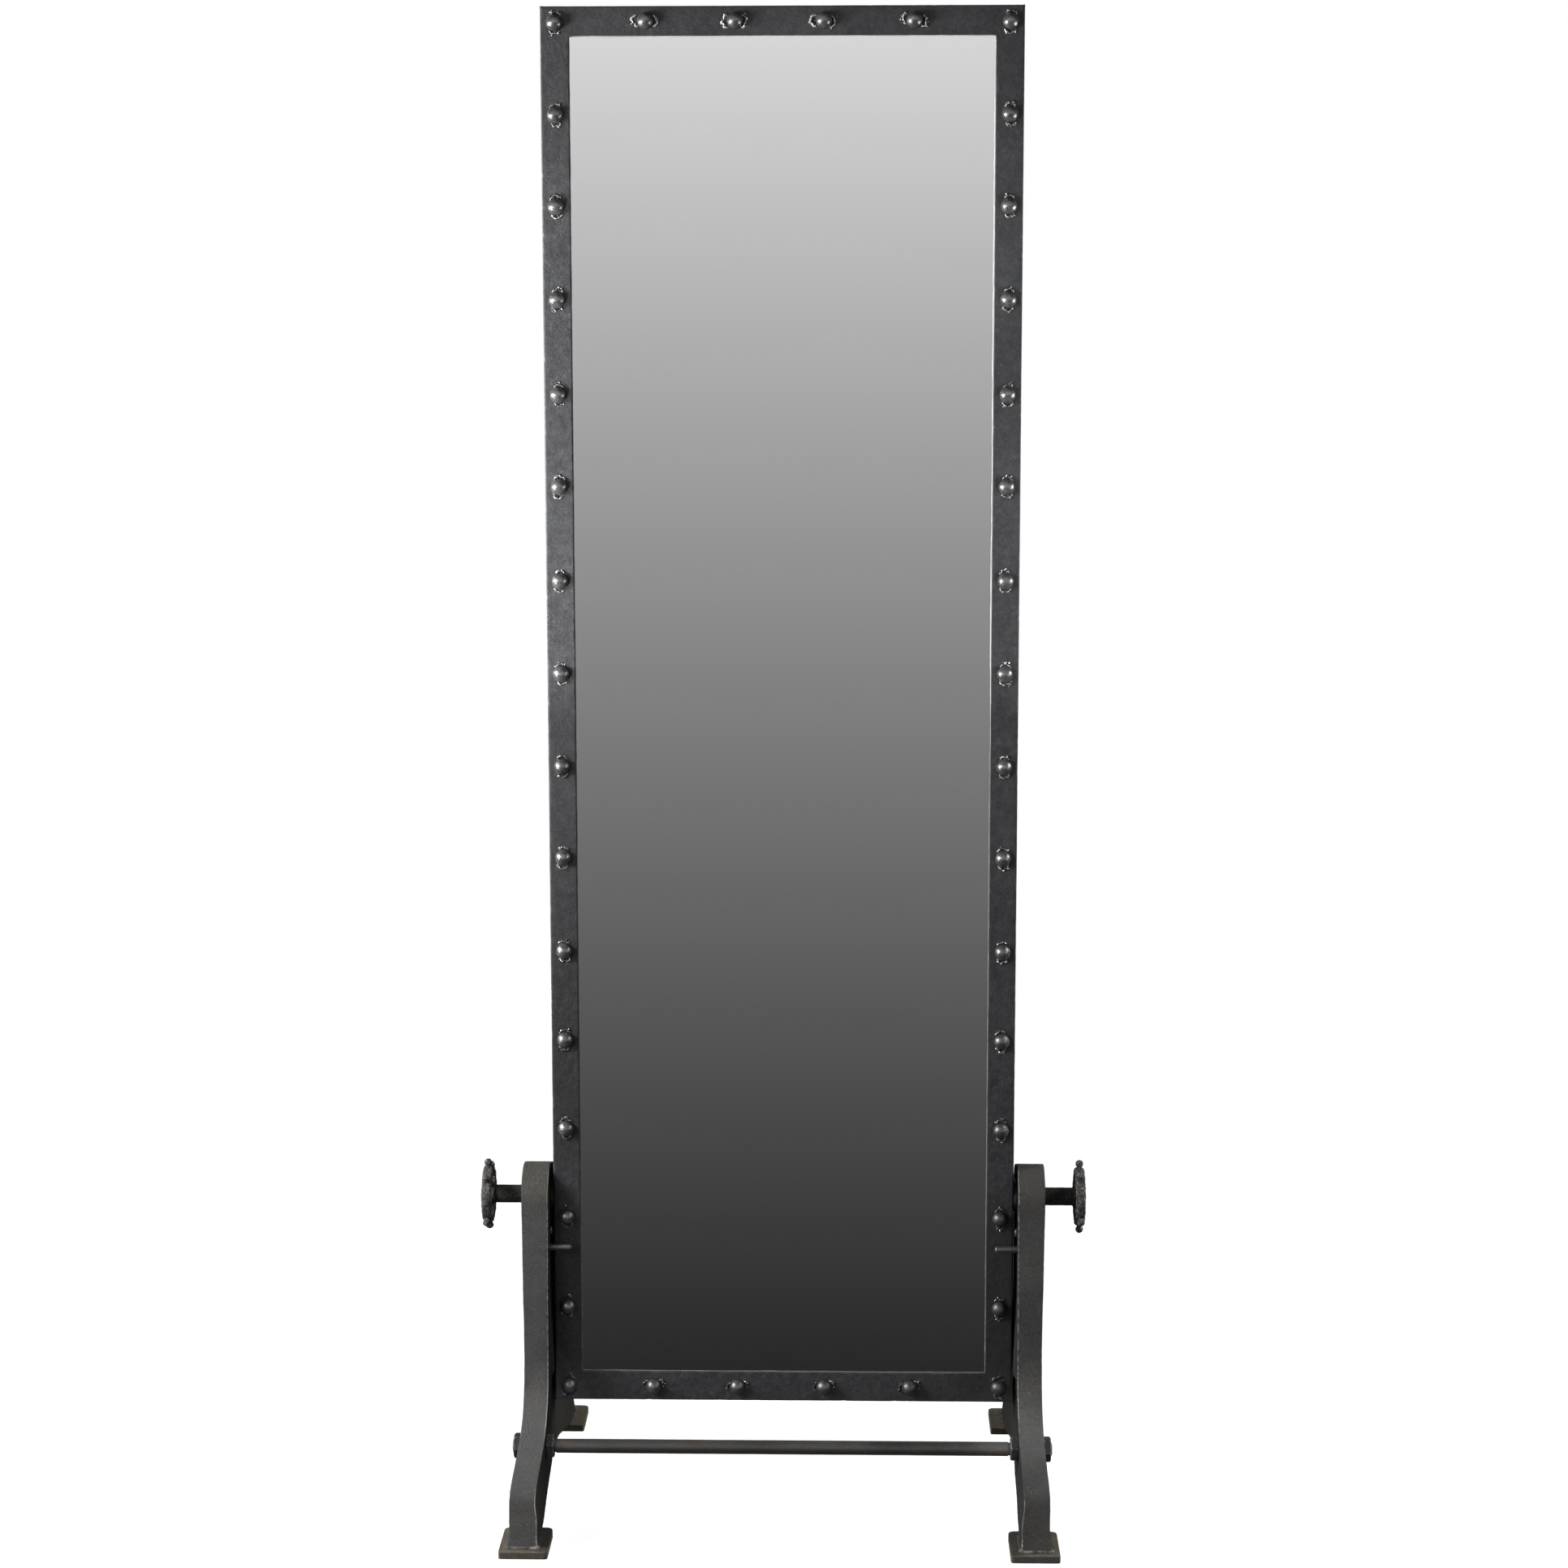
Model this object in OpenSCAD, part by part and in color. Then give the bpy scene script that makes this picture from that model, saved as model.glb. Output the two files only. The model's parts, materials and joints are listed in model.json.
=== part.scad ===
// Free-standing dressing mirror: a tall studded angle-iron frame that tilts
// between two cast legs and is clamped by a handwheel on each side.
// Millimetres. +Z is up, the glass faces -Y, X runs left to right.
// The origin lies on the floor under the middle of the stand; the tilt axis
// is parallel to X at Y = 0.

/* [Mirror frame] */
// Outside width of the frame
frame_w = 610; // [560:5:640]
// Outside height of the frame
frame_h = 1820; // [1700:2:1900]
// Height of the frame's lower edge above the floor
frame_z = 121; // [116:1:140]
// Width of the face of each stile
stile_w = 36; // [32:0.5:40]
// Width of the face of the top rail
top_rail_w = 37.5; // [34:0.5:42]
// Width of the face of the bottom rail
bottom_rail_w = 40; // [36:0.5:44]
// Depth of the frame from its face to its back edge
frame_d = 40; // [36:1:46]
// Thickness of the angle iron
iron_t = 3; // [2.5:0.5:4]

/* [Studs] */
// Diameter of a domed stud
stud_d = 21; // [14:0.5:22]
// Distance of a stile's stud centres from the frame's outer edge
stud_inset = 18; // [15:0.5:20]
// Distance of the end studs from the frame's top and bottom edges
stud_end = 20.5; // [18:0.5:24]

/* [Mirror plate] */
// Thickness of the silvered glass
glass_t = 4; // [3:0.5:5]
// Thickness of the bedding tape under the glass
tape_t = 1; // [0.5:0.25:1]
// Thickness of the backing board
board_t = 3; // [2.5:0.5:3]

/* [Stand] */
// Height of the tilt axis above the floor
pivot_z = 399; // [396:1:403]
// Gap between the frame's side and the leg's inner face
side_gap = 5; // [4.5:0.5:7]
// Thickness of the leg casting at its head
leg_t = 35.5; // [32:0.5:40]
// Radius of the leg's round head
head_r = 43; // [40:0.5:44]
// Half of the depth over the feet, front to back
foot_reach = 275; // [270:1:285]
// Width of a front foot plate
foot_w = 63; // [55:1:72]
// How much further inward a rear foot plate reaches
rear_foot_more = 6; // [0:1:8]
// Depth of a foot plate
foot_d = 84; // [74:1:86]
// Thickness of a foot plate
foot_t = 10; // [8:0.5:10]
// Corner radius on the front edge of a foot plate
foot_corner = 4; // [3:0.5:9]
// How far the leg's feet turn inward below the tie rod
toe_in = 3; // [0:0.5:4]

/* [Tie rod] */
// Diameter of the tie rod
rod_d = 18.5; // [16:0.5:20]
// Distance of the tie rod ahead of the tilt axis
rod_y = 95; // [85:1:100]
// Height of the tie rod above the floor
rod_z = 84; // [81:1:87]
// Width across flats of the tie rod's nuts
nut_af = 29.5; // [27:0.5:32]

/* [Handwheels] */
// Diameter over the rim of a handwheel
wheel_d = 77; // [74:1:84]
// Thickness of the rim along the axle
wheel_t = 13.5; // [10:0.5:14]
// Number of ball lugs round the rim
wheel_lugs = 8; // [6:1:10]
// Diameter of a ball lug
lug_d = 10.5; // [8:0.5:12]
// How far a lug's centre stands out from the rim
lug_out = 3.7; // [2:0.1:4]
// Diameter of the long hub
hub_d = 24; // [20:0.5:26]
// Distance from the leg's outer face to the rim
hub_len = 40.5; // [38:0.5:50]

/* [Stop pins] */
// Diameter of a stop pin
pin_d = 9; // [6:0.5:9]
// Distance of a stop pin below the tilt axis
pin_drop = 63; // [61:1:66]
// Distance of a stop pin ahead of the tilt axis
pin_y = 34.5; // [32:0.5:36]
// Length of a stop pin outside the leg
pin_out = 30; // [24:1:34]

/* [Hidden] */
$fn = 48;

x0 = frame_w / 2;              // outer side of the frame
face_y = -20;                  // front face of the frame
back_y = face_y + frame_d;     // back edge of the frame
plate_y = face_y + iron_t;     // back of the front flange
glass_y = plate_y + tape_t;    // front of the glass
board_y = glass_y + glass_t;   // front of the backing board
rear_y = board_y + board_t;    // back of the backing board
frame_top = frame_z + frame_h;
leg_x = x0 + side_gap;         // leg's inner face
leg_out = leg_x + leg_t;       // leg's outer face at its head
rim_x = leg_out + hub_len;     // inner side of the rim
screw_r = 6;                   // clamp screw
thread_r = rod_d / 2 - 0.25;   // threaded ends of the tie rod

IRON = [0.19, 0.19, 0.20];
CAST = [0.22, 0.22, 0.21];
STEEL = [0.30, 0.30, 0.31];

// ---------- small helpers ----------

// A point on a Catmull-Rom curve through b and c.
function cr(a, b, c, d, t) = 0.5 * (2 * b + (c - a) * t
    + (2 * a - 5 * b + 4 * c - d) * t * t + (3 * b - a - 3 * c + d) * t * t * t);

// A smooth curve through all the points of p, n steps between each two.
function curve(p, n) = concat(
    [for (i = [0 : len(p) - 2]) for (k = [0 : n - 1])
        cr(p[max(i - 1, 0)], p[i], p[i + 1], p[min(i + 2, len(p) - 1)], k / n)],
    [p[len(p) - 1]]);

function back(p) = [for (i = [len(p) - 1 : -1 : 0]) p[i]];
function flip(p) = [for (q = p) [-q[0], q[1]]];

// Outline of a rectangle with round corners.
function rrect(w, h, r, n = 6) = [for (q = [0 : 3]) for (k = [0 : n])
    let (a = q * 90 + k * 90 / n,
         cx = (q == 0 || q == 3 ? 1 : -1) * (w / 2 - r),
         cy = (q < 2 ? 1 : -1) * (h / 2 - r))
    [cx + r * cos(a), cy + r * sin(a)]];

// Turns a shape that stands on Z so that it lies along +X.
module along_x() { rotate([0, 90, 0]) children(); }

// Outline of a foot plate: small corners in front, cut corners behind.
function plate(w, h, rf, rr, n = 6) = [for (q = [0 : 3]) for (k = [0 : n])
    let (a = q * 90 + k * 90 / n, r = q < 2 ? rr : rf,
         cx = (q == 0 || q == 3 ? 1 : -1) * (w / 2 - r),
         cy = (q < 2 ? 1 : -1) * (h / 2 - r))
    [cx + r * cos(a), cy + r * sin(a)]];

// Puts a right-hand piece on the left.
module side(s) { if (s > 0) children(); else mirror([1, 0, 0]) children(); }

// Hexagon nut or bolt head with chamfered corners, standing on Z.
module hex(af, h, bore = 0, turn = 0) {
    rc = af / sqrt(3);
    difference() {
        intersection() {
            rotate(turn) cylinder(r = rc, h = h, $fn = 6);
            rotate_extrude() polygon([[0, 0], [af / 2 - 0.2, 0], [rc + 0.1, 1.6],
                [rc + 0.1, h - 1.6], [af / 2 - 0.2, h], [0, h]]);
        }
        if (bore > 0) translate([0, 0, -1]) cylinder(r = bore, h = h + 2);
    }
}

// Round bar with a chamfer at its far end, standing on Z.
module bar(r, h, c) {
    cylinder(r = r, h = h - c);
    translate([0, 0, h - c]) cylinder(r1 = r, r2 = r - c, h = c);
}

// ---------- tilting frame ----------

clip_z = [for (f = [0.10, 0.36, 0.62, 0.88]) frame_z + frame_h * f];
clip_rail_x = [-frame_w * 0.24, frame_w * 0.24];

// Stile: front flange with mitred ends, and the side flange behind it.
module stile() {
    difference() {
        union() {
            translate([0, plate_y, 0]) rotate([90, 0, 0]) linear_extrude(iron_t)
                polygon([[x0, frame_z], [x0, frame_top],
                         [x0 - stile_w, frame_top - top_rail_w],
                         [x0 - stile_w, frame_z + bottom_rail_w]]);
            translate([x0 - iron_t, plate_y, frame_z]) cube([iron_t, frame_d - iron_t, frame_h]);
        }
        translate([x0 - 10, 0, pivot_z]) along_x() cylinder(r = screw_r + 0.4, h = 20);
        for (z = clip_z) translate([x0 - 10, 2, z]) along_x() cylinder(r = 2.1, h = 20, $fn = 24);
    }
}

module rail(w, z, up) {
    // up is 1 for the top rail, whose back flange is its upper edge
    zi = z - up * w;
    translate([0, plate_y, 0]) rotate([90, 0, 0]) linear_extrude(iron_t)
        polygon([[-x0, z], [x0, z], [x0 - stile_w, zi], [-x0 + stile_w, zi]]);
    difference() {
        translate([-x0 + iron_t, plate_y, up > 0 ? z - iron_t : z])
            cube([frame_w - 2 * iron_t, frame_d - iron_t, iron_t]);
        for (x = clip_rail_x) translate([x, 2, z - 10]) cylinder(r = 2.1, h = 20, $fn = 24);
    }
}

module left_stile() { color(IRON) side(-1) stile(); }
module right_stile() { color(IRON) stile(); }
module top_rail() { color(IRON) rail(top_rail_w, frame_top, 1); }
module bottom_rail() { color(IRON) rail(bottom_rail_w, frame_z, -1); }

// A domed stud standing on the frame's face: half a ball on a short foot.
module stud(x, z) {
    translate([x, face_y, z]) rotate([90, 0, 0]) intersection() {
        translate([0, 0, 0.8]) sphere(d = stud_d, $fn = 40);
        cylinder(d = stud_d + 2, h = stud_d);
    }
}

// The studs were set by hand. Distances from one to the next down a stile,
// corners included; they are stretched to fill the frame's height.
stud_gaps = [114, 114, 117, 120, 117, 121, 120, 121, 120, 124, 119, 120, 120, 123, 109];
// How far each rail stud between the corners sits from an even spacing.
top_shift = [0, -2, -5, -6];
bottom_shift = [-1, -4, -3, -4];

function sum(v, n) = n == 0 ? 0 : v[n - 1] + sum(v, n - 1);
stud_k = (frame_h - 2 * stud_end) / sum(stud_gaps, len(stud_gaps));
stud_x0 = x0 - stud_inset;

module stile_studs() {
    color(STEEL) for (i = [0 : len(stud_gaps)])
        stud(stud_x0, frame_top - stud_end - stud_k * sum(stud_gaps, i));
}
module left_stile_studs() { side(-1) stile_studs(); }
module right_stile_studs() { stile_studs(); }
module rail_studs(z, shift) {
    n = len(shift);
    color(STEEL) for (i = [0 : n - 1])
        stud(stud_x0 * (2 * (i + 1) / (n + 1) - 1) + shift[i], z);
}
module top_rail_studs() { rail_studs(frame_top - top_rail_w / 2, top_shift); }
module bottom_rail_studs() { rail_studs(frame_z + bottom_rail_w / 2, bottom_shift); }

inner_w = frame_w - 2 * iron_t - 2;   // room between the side flanges
inner_h = frame_h - 2 * iron_t - 2;

module bedding_tape() {
    color([0.08, 0.08, 0.08]) difference() {
        translate([-inner_w / 2, plate_y, frame_z + iron_t + 1]) cube([inner_w, tape_t, inner_h]);
        translate([-x0 + stile_w - 2, plate_y - 1, frame_z + bottom_rail_w - 2])
            cube([frame_w - 2 * stile_w + 4, tape_t + 2, frame_h - top_rail_w - bottom_rail_w + 4]);
    }
}
module mirror_glass() {
    color([0.75, 0.78, 0.80])
        translate([-inner_w / 2, glass_y, frame_z + iron_t + 1]) cube([inner_w, glass_t, inner_h]);
}
module backing_board() {
    color([0.45, 0.33, 0.22])
        translate([-inner_w / 2, board_y, frame_z + iron_t + 1]) cube([inner_w, board_t, inner_h]);
}

// Angle clip: one leg on the flange, the other on the board. It stands at
// the right-hand flange; x is the flange's inner side.
module clip(x) {
    difference() {
        union() {
            translate([x - 1.5, rear_y, -10]) cube([1.5, back_y - 3 - rear_y, 20]);
            translate([x - 18, rear_y, -10]) cube([16.5, 1.5, 20]);
        }
        translate([x - 5, 2, 0]) along_x() cylinder(r = 2.1, h = 10, $fn = 24);
    }
}
// Pan-head screw through the clip into the flange.
module clip_screw(x) {
    translate([x - 1.5, 2, 0]) rotate([0, -90, 0]) cylinder(r = 3.8, h = 2.2, $fn = 24);
    translate([x - 1.5, 2, 0]) along_x() cylinder(r = 2, h = iron_t + 1.3, $fn = 24);
}
// Places its child at all the clips: two on each rail, four on each stile.
module at_clips() {
    for (z = clip_z) {
        translate([0, 0, z]) children(0);
        translate([0, 0, z]) mirror([1, 0, 0]) children(0);
    }
    for (x = clip_rail_x) {
        translate([x, 0, frame_z + frame_h / 2]) rotate([0, -90, 0]) children(1);
        translate([x, 0, frame_z + frame_h / 2]) rotate([0, 90, 0]) children(1);
    }
}
module retaining_clips() {
    color(STEEL) at_clips() { clip(x0 - iron_t); clip(frame_h / 2 - iron_t); }
}
module clip_screws() {
    color(STEEL) at_clips() { clip_screw(x0 - iron_t); clip_screw(frame_h / 2 - iron_t); }
}

// Threaded block welded behind the side flange: it takes the clamp screw.
module pivot_block(s) {
    color(IRON) side(s) difference() {
        translate([x0 - iron_t - 20, rear_y + 0.2, pivot_z - 20])
            cube([20, back_y - rear_y - 0.2, 40]);
        translate([x0 - 40, 0, pivot_z]) along_x() cylinder(r = screw_r + 0.05, h = 60);
    }
}
module left_pivot_block() { pivot_block(-1); }
module right_pivot_block() { pivot_block(1); }

// Fibre washer that fills the gap at the tilt axis.
module friction_washer(s) {
    color([0.10, 0.09, 0.08]) side(s) translate([x0, 0, pivot_z]) along_x() difference() {
        cylinder(r = 19.5, h = side_gap - 0.4);
        translate([0, 0, -1]) cylinder(r = screw_r + 0.4, h = side_gap + 2);
    }
}
module left_friction_washer() { friction_washer(-1); }
module right_friction_washer() { friction_washer(1); }

// ---------- stand ----------

// Front edge of the leg seen from the side, [Y, Z] from the head down to
// the foot: a slender column, a long sweep forward, and an upright shin.
leg_front = [[-head_r, pivot_z], [-44, 376], [-48, 337], [-54, 283], [-57, 229],
             [-60, 180], [-68, 146], [-86, 121], [-118, 102], [-162, 90],
             [-206, 82], [-236, 73], [-251, 57], [-258, 33], [-262, foot_t]];
// Low arch between the feet.
leg_arch = [[-212, foot_t], [-170, 16], [-122, 28], [-76, 40], [-38, 48], [0, 51]];
head_arc = [for (k = [1 : 23]) [-head_r * cos(k * 7.5), pivot_z + head_r * sin(k * 7.5)]];
leg_side = let (f = curve(leg_front, 4), a = curve(leg_arch, 3))
    concat(back(f), head_arc, flip(f), flip(a), back([for (i = [0 : len(a) - 2]) a[i]]));
// Outer face seen from the front, as distance from the head's face at each height.
leg_waist = [[0, pivot_z + head_r + 5], [0, 400], [1, 342], [2, 283], [3, 229], [3.2, 185],
             [3, 146], [2.6, 107], [1.9, 78], [2.6, 55], [3.2, 38], [3.3, 20], [3.3, -5]];
// Inner face seen from the front: it turns inward below the tie rod's nut.
leg_inner = [for (k = [0 : 6]) let (t = k / 6) [leg_x - toe_in * t * t * (3 - 2 * t), 66 - 24 * t]];

module leg(s) {
    color(CAST) side(s) difference() {
        union() {
            intersection() {
                translate([leg_x - toe_in, 0, 0]) rotate([90, 0, 90])
                    linear_extrude(leg_t + toe_in + 1) polygon(leg_side);
                translate([0, foot_reach + 10, 0]) rotate([90, 0, 0])
                    linear_extrude(2 * foot_reach + 20)
                    polygon(concat([[leg_x - toe_in, -5]], back(leg_inner), [[leg_x, pivot_z + head_r + 5]],
                        [for (p = curve(leg_waist, 2)) [leg_out - p[0], p[1]]]));
            }
            // side guide: a wedge that keeps the frame's lower end centred
            intersection() {
                translate([0, 0, 150]) linear_extrude(130)
                    polygon([[leg_x + 4, -54], [leg_x, -54], [leg_x - side_gap + 0.6, -25],
                             [leg_x - side_gap + 0.6, 25], [leg_x, 54], [leg_x + 4, 54]]);
                translate([0, 60, 0]) rotate([90, 0, 0]) linear_extrude(120)
                    polygon([[leg_x + 4, 161], [leg_x - side_gap + 0.6, 161],
                             [leg_x - side_gap + 0.6, 169], [leg_x, 268], [leg_x + 4, 268]]);
            }
        }
        translate([leg_x - 10, 0, pivot_z]) along_x() cylinder(r = screw_r + 0.1, h = leg_t + 20);
        translate([leg_x - 10, -rod_y, rod_z]) along_x() cylinder(r = thread_r + 0.2, h = leg_t + 20);
        translate([leg_x - 10, -pin_y, pivot_z - pin_drop]) along_x()
            cylinder(r = pin_d / 2 + 0.05, h = 30, $fn = 32);
        translate([leg_x - 10, -28, pivot_z - 42]) along_x() cylinder(r = 3.05, h = 24, $fn = 24);
        // spot face under the outer nut
        translate([rod_face, -rod_y, rod_z]) along_x() cylinder(r = 19.5, h = 10);
    }
}
module left_leg() { leg(-1); }
module right_leg() { leg(1); }

// Welded foot plate under each end of a leg.
module foot(s, f) {
    more = f > 0 ? rear_foot_more : 0;
    color(CAST) translate([s * ((leg_x + leg_out) / 2 - toe_in - 1 - more / 2), f * (foot_reach - foot_d / 2), 0])
        linear_extrude(foot_t) polygon(plate(foot_w + more, foot_d, foot_corner, 9));
}
module left_front_foot() { foot(-1, -1); }
module left_rear_foot() { foot(-1, 1); }
module right_front_foot() { foot(1, -1); }
module right_rear_foot() { foot(1, 1); }

nut_in = 10.5;  // thickness of an inner nut
nut_out = 10;   // thickness of an outer nut
rod_face = leg_out - 2.8;   // outer face of the leg at the tie rod
module tie_rod() {
    color(STEEL) for (s = [-1, 1]) side(s) translate([0, -rod_y, rod_z]) along_x() {
        cylinder(d = rod_d, h = leg_x - nut_in - 2.4);
        bar(thread_r, rod_face + nut_out + 1.5, 1.2);
    }
}
module rod_nut_in(s) {
    color(STEEL) side(s) translate([leg_x - nut_in, -rod_y, rod_z]) along_x()
        hex(nut_af, nut_in, thread_r + 0.05, 12);
}
module rod_nut_out(s) {
    color(STEEL) side(s) translate([rod_face, -rod_y, rod_z]) along_x()
        hex(nut_af, nut_out, thread_r + 0.05, 30);
}
module left_inner_nut() { rod_nut_in(-1); }
module right_inner_nut() { rod_nut_in(1); }
module left_outer_nut() { rod_nut_out(-1); }
module right_outer_nut() { rod_nut_out(1); }

// Pin that the frame's face comes to rest on when the mirror leans back.
module stop_pin(s) {
    color(STEEL) side(s) translate([leg_x + 20, -pin_y, pivot_z - pin_drop]) rotate([0, -90, 0])
        bar(pin_d / 2, pin_out + 20, 1.2);
}
module left_stop_pin() { stop_pin(-1); }
module right_stop_pin() { stop_pin(1); }

// Small hexagon bolt in the leg's inner face above the stop pin.
module leg_bolt(s) {
    color(STEEL) side(s) translate([leg_x, -28, pivot_z - 42]) rotate([0, -90, 0]) {
        hex(10, 3.6, 0, 0);
        rotate([180, 0, 0]) cylinder(r = 3, h = 12, $fn = 24);
    }
}
module left_leg_bolt() { leg_bolt(-1); }
module right_leg_bolt() { leg_bolt(1); }

// ---------- handwheels ----------

wheel_r = wheel_d / 2;
// Cast wheel: long hub, four spokes, round-edged rim and ball lugs.
module handwheel(s, phase) {
    color(CAST) side(s) translate([0, 0, pivot_z]) along_x() difference() {
        union() {
            translate([0, 0, leg_out + 0.4]) cylinder(d = hub_d, h = hub_len);
            translate([0, 0, rim_x - 2]) cylinder(d = hub_d + 5, h = 8);
            for (k = [0 : 3]) rotate(phase + k * 90) translate([hub_d / 2 - 3, -4.5, rim_x + 1])
                cube([wheel_r - hub_d / 2 - 2, 9, 5]);
            rotate_extrude($fn = 64) translate([wheel_r - 4.5, rim_x + wheel_t / 2])
                polygon(rrect(9, wheel_t, 3.2, 3));
            for (k = [0 : wheel_lugs - 1]) rotate(phase + (k + 0.5) * 360 / wheel_lugs)
                translate([wheel_r, 0, rim_x + wheel_t / 2]) {
                    translate([lug_out, 0, 0]) sphere(d = lug_d, $fn = 24);
                    translate([-3, 0, 0]) rotate([0, 90, 0])
                        cylinder(d1 = lug_d * 0.88, d2 = lug_d * 0.64, h = lug_out + 2, $fn = 20);
                }
        }
        translate([0, 0, leg_x]) cylinder(r = screw_r + 0.05, h = leg_t + hub_len + 30);
    }
}
// Screw from the frame's pivot block through the leg and the hub.
module clamp_screw(s) {
    color(STEEL) side(s) translate([x0 - iron_t - 18, 0, pivot_z]) along_x()
        bar(screw_r, rim_x + 15.5 - (x0 - iron_t - 18), 1);
}
// Nut that locks the wheel on the screw.
module wheel_nut(s) {
    color(STEEL) side(s) translate([rim_x + 6, 0, pivot_z]) along_x()
        hex(19, 6.5, screw_r + 0.05, s > 0 ? 8 : 21);
}
module left_handwheel() { handwheel(-1, 25); }
module left_clamp_screw() { clamp_screw(-1); }
module left_wheel_nut() { wheel_nut(-1); }
module right_handwheel() { handwheel(1, 14); }
module right_clamp_screw() { clamp_screw(1); }
module right_wheel_nut() { wheel_nut(1); }

left_stile();
right_stile();
top_rail();
bottom_rail();
left_stile_studs();
right_stile_studs();
top_rail_studs();
bottom_rail_studs();
mirror_glass();
bedding_tape();
backing_board();
retaining_clips();
clip_screws();
left_pivot_block();
right_pivot_block();
left_friction_washer();
right_friction_washer();
left_leg();
right_leg();
left_front_foot();
left_rear_foot();
right_front_foot();
right_rear_foot();
tie_rod();
left_inner_nut();
right_inner_nut();
left_outer_nut();
right_outer_nut();
left_stop_pin();
right_stop_pin();
left_leg_bolt();
right_leg_bolt();
left_handwheel();
left_clamp_screw();
left_wheel_nut();
right_handwheel();
right_clamp_screw();
right_wheel_nut();
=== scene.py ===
"""Looks of the tilting floor mirror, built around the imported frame. Metres."""

import json
import math

import bmesh
import bpy
import numpy as np
from mathutils import Matrix, Vector

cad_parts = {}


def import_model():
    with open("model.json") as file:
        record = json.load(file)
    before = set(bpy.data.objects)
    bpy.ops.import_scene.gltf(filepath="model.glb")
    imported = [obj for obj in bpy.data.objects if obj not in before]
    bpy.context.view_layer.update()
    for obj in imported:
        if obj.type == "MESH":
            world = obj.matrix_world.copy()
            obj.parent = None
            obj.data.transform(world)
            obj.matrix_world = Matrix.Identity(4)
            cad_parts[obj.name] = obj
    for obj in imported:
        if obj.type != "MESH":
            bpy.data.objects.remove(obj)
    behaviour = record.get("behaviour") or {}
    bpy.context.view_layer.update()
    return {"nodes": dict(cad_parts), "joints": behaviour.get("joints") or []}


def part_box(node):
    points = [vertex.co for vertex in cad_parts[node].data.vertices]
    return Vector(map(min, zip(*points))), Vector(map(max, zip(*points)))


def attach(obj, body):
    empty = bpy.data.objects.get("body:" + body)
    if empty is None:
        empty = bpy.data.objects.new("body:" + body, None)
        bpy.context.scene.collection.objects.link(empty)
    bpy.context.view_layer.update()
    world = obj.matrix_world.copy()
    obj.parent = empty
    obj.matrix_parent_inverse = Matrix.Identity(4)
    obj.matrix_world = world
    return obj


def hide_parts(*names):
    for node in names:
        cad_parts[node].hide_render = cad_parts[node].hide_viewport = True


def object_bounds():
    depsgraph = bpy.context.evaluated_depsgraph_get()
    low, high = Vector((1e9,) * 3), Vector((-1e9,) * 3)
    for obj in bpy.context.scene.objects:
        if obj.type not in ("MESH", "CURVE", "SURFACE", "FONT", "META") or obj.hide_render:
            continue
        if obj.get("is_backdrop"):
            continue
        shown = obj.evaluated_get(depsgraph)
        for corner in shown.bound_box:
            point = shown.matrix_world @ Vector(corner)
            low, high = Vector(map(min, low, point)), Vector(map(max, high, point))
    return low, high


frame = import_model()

NODES = frame["nodes"]
scene = bpy.context.scene
MM = 0.001

scene.view_settings.view_transform = "Standard"
scene.view_settings.look = "None"
scene.view_settings.exposure = 0.0
scene.view_settings.gamma = 1.0


# ------------------------------------------------------------------ camera

cam_data = bpy.data.cameras.new("camera")
cam_data.sensor_width = 36.0
cam_data.lens = 70.81
cam_data.clip_end = 60.0
camera = bpy.data.objects.new("camera", cam_data)
scene.collection.objects.link(camera)
camera.matrix_world = (
    Matrix.Translation((0.0942, -3.9874, 1.5117))
    @ Matrix.Rotation(math.radians(1.336), 4, "Z")
    @ Matrix.Rotation(math.radians(90.0 - 7.999), 4, "X")
    @ Matrix.Rotation(math.radians(-0.052), 4, "Z")
)
scene.camera = camera


# ------------------------------------------------------------------ noise


def _hash(i, j, k, seed):
    m = np.uint64(0xFFFFFFFF)
    h = (
        i.astype(np.uint64) * np.uint64(374761393)
        + j.astype(np.uint64) * np.uint64(668265263)
        + k.astype(np.uint64) * np.uint64(1440670441)
        + np.uint64(seed * 974634777 + 12345)
    ) & m
    h = ((h ^ (h >> np.uint64(13))) * np.uint64(1274126177)) & m
    h = ((h ^ (h >> np.uint64(16))) * np.uint64(2246822519)) & m
    h = h ^ (h >> np.uint64(15))
    return (h & np.uint64(0xFFFFF)).astype(float) / float(0xFFFFF) * 2.0 - 1.0


def vnoise(p, size, seed=0):
    """Smooth value noise from -1 to 1 at the points p, with features of that size in metres."""
    q = np.asarray(p, float) / size + 4096.0
    b = np.floor(q)
    f = q - b
    b = b.astype(np.int64)
    f = f * f * f * (f * (f * 6 - 15) + 10)
    out = 0.0
    for dx in (0, 1):
        for dy in (0, 1):
            for dz in (0, 1):
                w = (
                    (f[:, 0] if dx else 1 - f[:, 0])
                    * (f[:, 1] if dy else 1 - f[:, 1])
                    * (f[:, 2] if dz else 1 - f[:, 2])
                )
                out = out + w * _hash(b[:, 0] + dx, b[:, 1] + dy, b[:, 2] + dz, seed)
    return out


def fbm(p, size, octaves=3, seed=0, gain=0.5):
    out, a, total = 0.0, 1.0, 0.0
    for o in range(octaves):
        out = out + a * vnoise(p, size / 2**o, seed * 31 + o)
        total += a
        a *= gain
    return out / total


def smooth01(x, a, b):
    t = np.clip((np.asarray(x, float) - a) / (b - a), 0, 1)
    return t * t * (3 - 2 * t)


# ------------------------------------------------------------------ meshes


def link(o):
    scene.collection.objects.link(o)
    return o


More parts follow.
